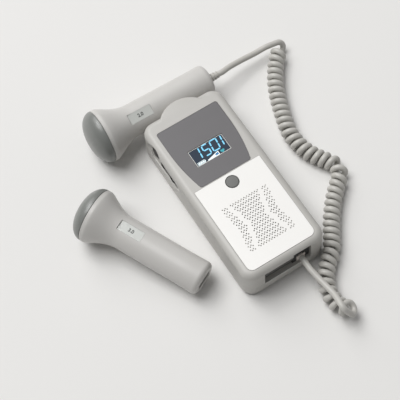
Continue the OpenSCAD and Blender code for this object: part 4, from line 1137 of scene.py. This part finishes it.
def add_probe(which, body, place, label_s, number):
    """One probe: housing with its label recess and end window, domed face, label and number."""
    housing = revolve(f"{which}_shell", housing_profile(), probe_abs, place)
    label_x = math.sqrt(HANDLE_R**2 - (LABEL_W / 2) ** 2) - LABEL_T
    film_top = LABEL_T - 0.05 * MM
    top_on = place @ Matrix.Translation((-label_x, 0, label_s)) @ spin(-90, "Y")
    socket_low, socket_room = PROBE_L - 17 * MM, PROBE_L - 2.2 * MM
    # Label's recess, the window in the tail's end, and the room for the socket behind it
    flare, lip = 0.25 * MM, 0.4 * MM
    recess = [(0, 0), (0, 0.35 * MM), (flare, 0.9 * MM), (flare, 3 * MM)]
    window = [(0, socket_room - PAST), (0, PROBE_L - lip), (lip, PROBE_L), (lip, PROBE_L + PAST)]
    room = [(0, socket_low), (0, socket_room)]
    carve(housing, [
        cutter(rounded_outline(LABEL_L / 2, LABEL_W / 2, 0.5 * MM, 5), recess, top_on, probe_abs),
        cutter(rounded_outline(4.5 * MM, 7 * MM, 0.6 * MM, 5), window, place, probe_abs),
        cutter(rounded_outline(5.5 * MM, 6.7 * MM, 0.2 * MM, 3), room, place, probe_abs),
    ])
    place_piece(housing, body, "casing", f"{which}_housing")
    face = revolve(f"{which}_lens", face_profile(), face_epoxy, place)
    place_piece(face, body, "transducer_face", f"{which}_face")
    outline = rounded_outline(LABEL_L / 2 - 0.1 * MM, LABEL_W / 2 - 0.1 * MM, 0.4 * MM, 5)
    heights = [(0, 0), (0, film_top - 0.1 * MM), (-0.1 * MM, film_top)]
    film = loft(f"{which}_label_film", outline, heights, label_film, top_on)
    place_piece(film, body, "label_window", f"{which}_label")
    figure = number_piece(f"{which}_number", number, 4 * MM, film_top)
    figure.data.transform(top_on)
    place_piece(figure, body, "label_window")


def number_piece(name, text, size, low):
    """A plain printed number, flat on the label."""
    curve = bpy.data.curves.new(name, "FONT")
    curve.body = text
    curve.size = size
    curve.align_x = "CENTER"
    curve.align_y = "CENTER"
    curve.extrude = 0.02 * MM
    curve.offset = 0.09 * MM
    return dress(bpy.data.objects.new(name, mesh_of(curve, low + curve.extrude)), black_ink)


add_front_shell()
add_back_shell()
add_recess_shade_sheet()
add_side_sockets()
add_door()
add_plate()
add_panel()
add_button()
add_wheel()
add_display()
add_probe("probe", "probe", in_cradle, 32.7 * MM, "2.0")
add_probe("spare", "spare_probe", on_surface, 33.6 * MM, "3.0")


# ---- CAD nodes that stay, with their materials ----

NODE_MATERIALS = {
    white_nylon: ["lcd_holder", "lcd_backlight"],
    solder_mask: ["main_board", "probe_board", "spare_board"],
    dark_abs: ["speaker_driver", "probe_backing", "spare_backing"],
    black_nylon: [
        "button_switch", "headphone_jack", "charger_jack", "probe_jack", "probe_socket", "spare_socket",
    ],
    nickel: ["volume_pot", "battery_contacts", "case_screws"],
    cell_foil: ["battery_cells"],
    fired_silver: ["probe_crystals", "spare_crystals"],
}
for node_material, node_names in NODE_MATERIALS.items():
    for node_name in node_names:
        node_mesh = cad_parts[node_name].data
        node_mesh.materials.clear()
        node_mesh.materials.append(node_material)


# ---- Floor and light ----

# Soft boxes as elevation, azimuth, size and power: one nearly overhead, one lower behind the cradle
SOFT_BOXES = {"overhead": (66, 125, 2.8, 134), "behind": (42, 95, 2.8, 56)}
BOX_DISTANCE = 4.2
WORLD_STRENGTH = 0.21


def add_floor():
    """Wide pale floor, even and dull."""
    paper = surface("paper_floor", "E6E5E3", "E4E3E1", patch=300, roughness=0.9, specular=0.1)
    points = [[*corner, 0] for corner in upright(-4, -4, 4, 4)]
    make_piece("floor", points, [[0, 1, 2, 3]], paper)


def add_soft_box(name, elevation, azimuth, size, power):
    """Square soft light at an elevation and an azimuth in degrees, which faces the object."""
    data = bpy.data.lights.new(name, "AREA")
    data.size = size
    data.energy = power
    light = bpy.data.objects.new(name, data)
    high, round_z = math.radians(elevation), math.radians(azimuth)
    way = Vector((math.cos(high) * math.cos(round_z), math.cos(high) * math.sin(round_z), math.sin(high)))
    turned = way.to_track_quat("Z", "Y").to_matrix().to_4x4()
    light.matrix_world = Matrix.Translation(BOX_DISTANCE * way) @ turned
    link(light)


def add_world(strength):
    """Even pale surroundings."""
    world = bpy.data.worlds.new("world")
    world.use_nodes = True
    background = world.node_tree.nodes["Background"]
    background.inputs["Color"].default_value = (1, 1, 1, 1)
    background.inputs["Strength"].default_value = strength
    bpy.context.scene.world = world


add_floor()
for box_name, settings in SOFT_BOXES.items():
    add_soft_box(box_name, *settings)
add_world(WORLD_STRENGTH)
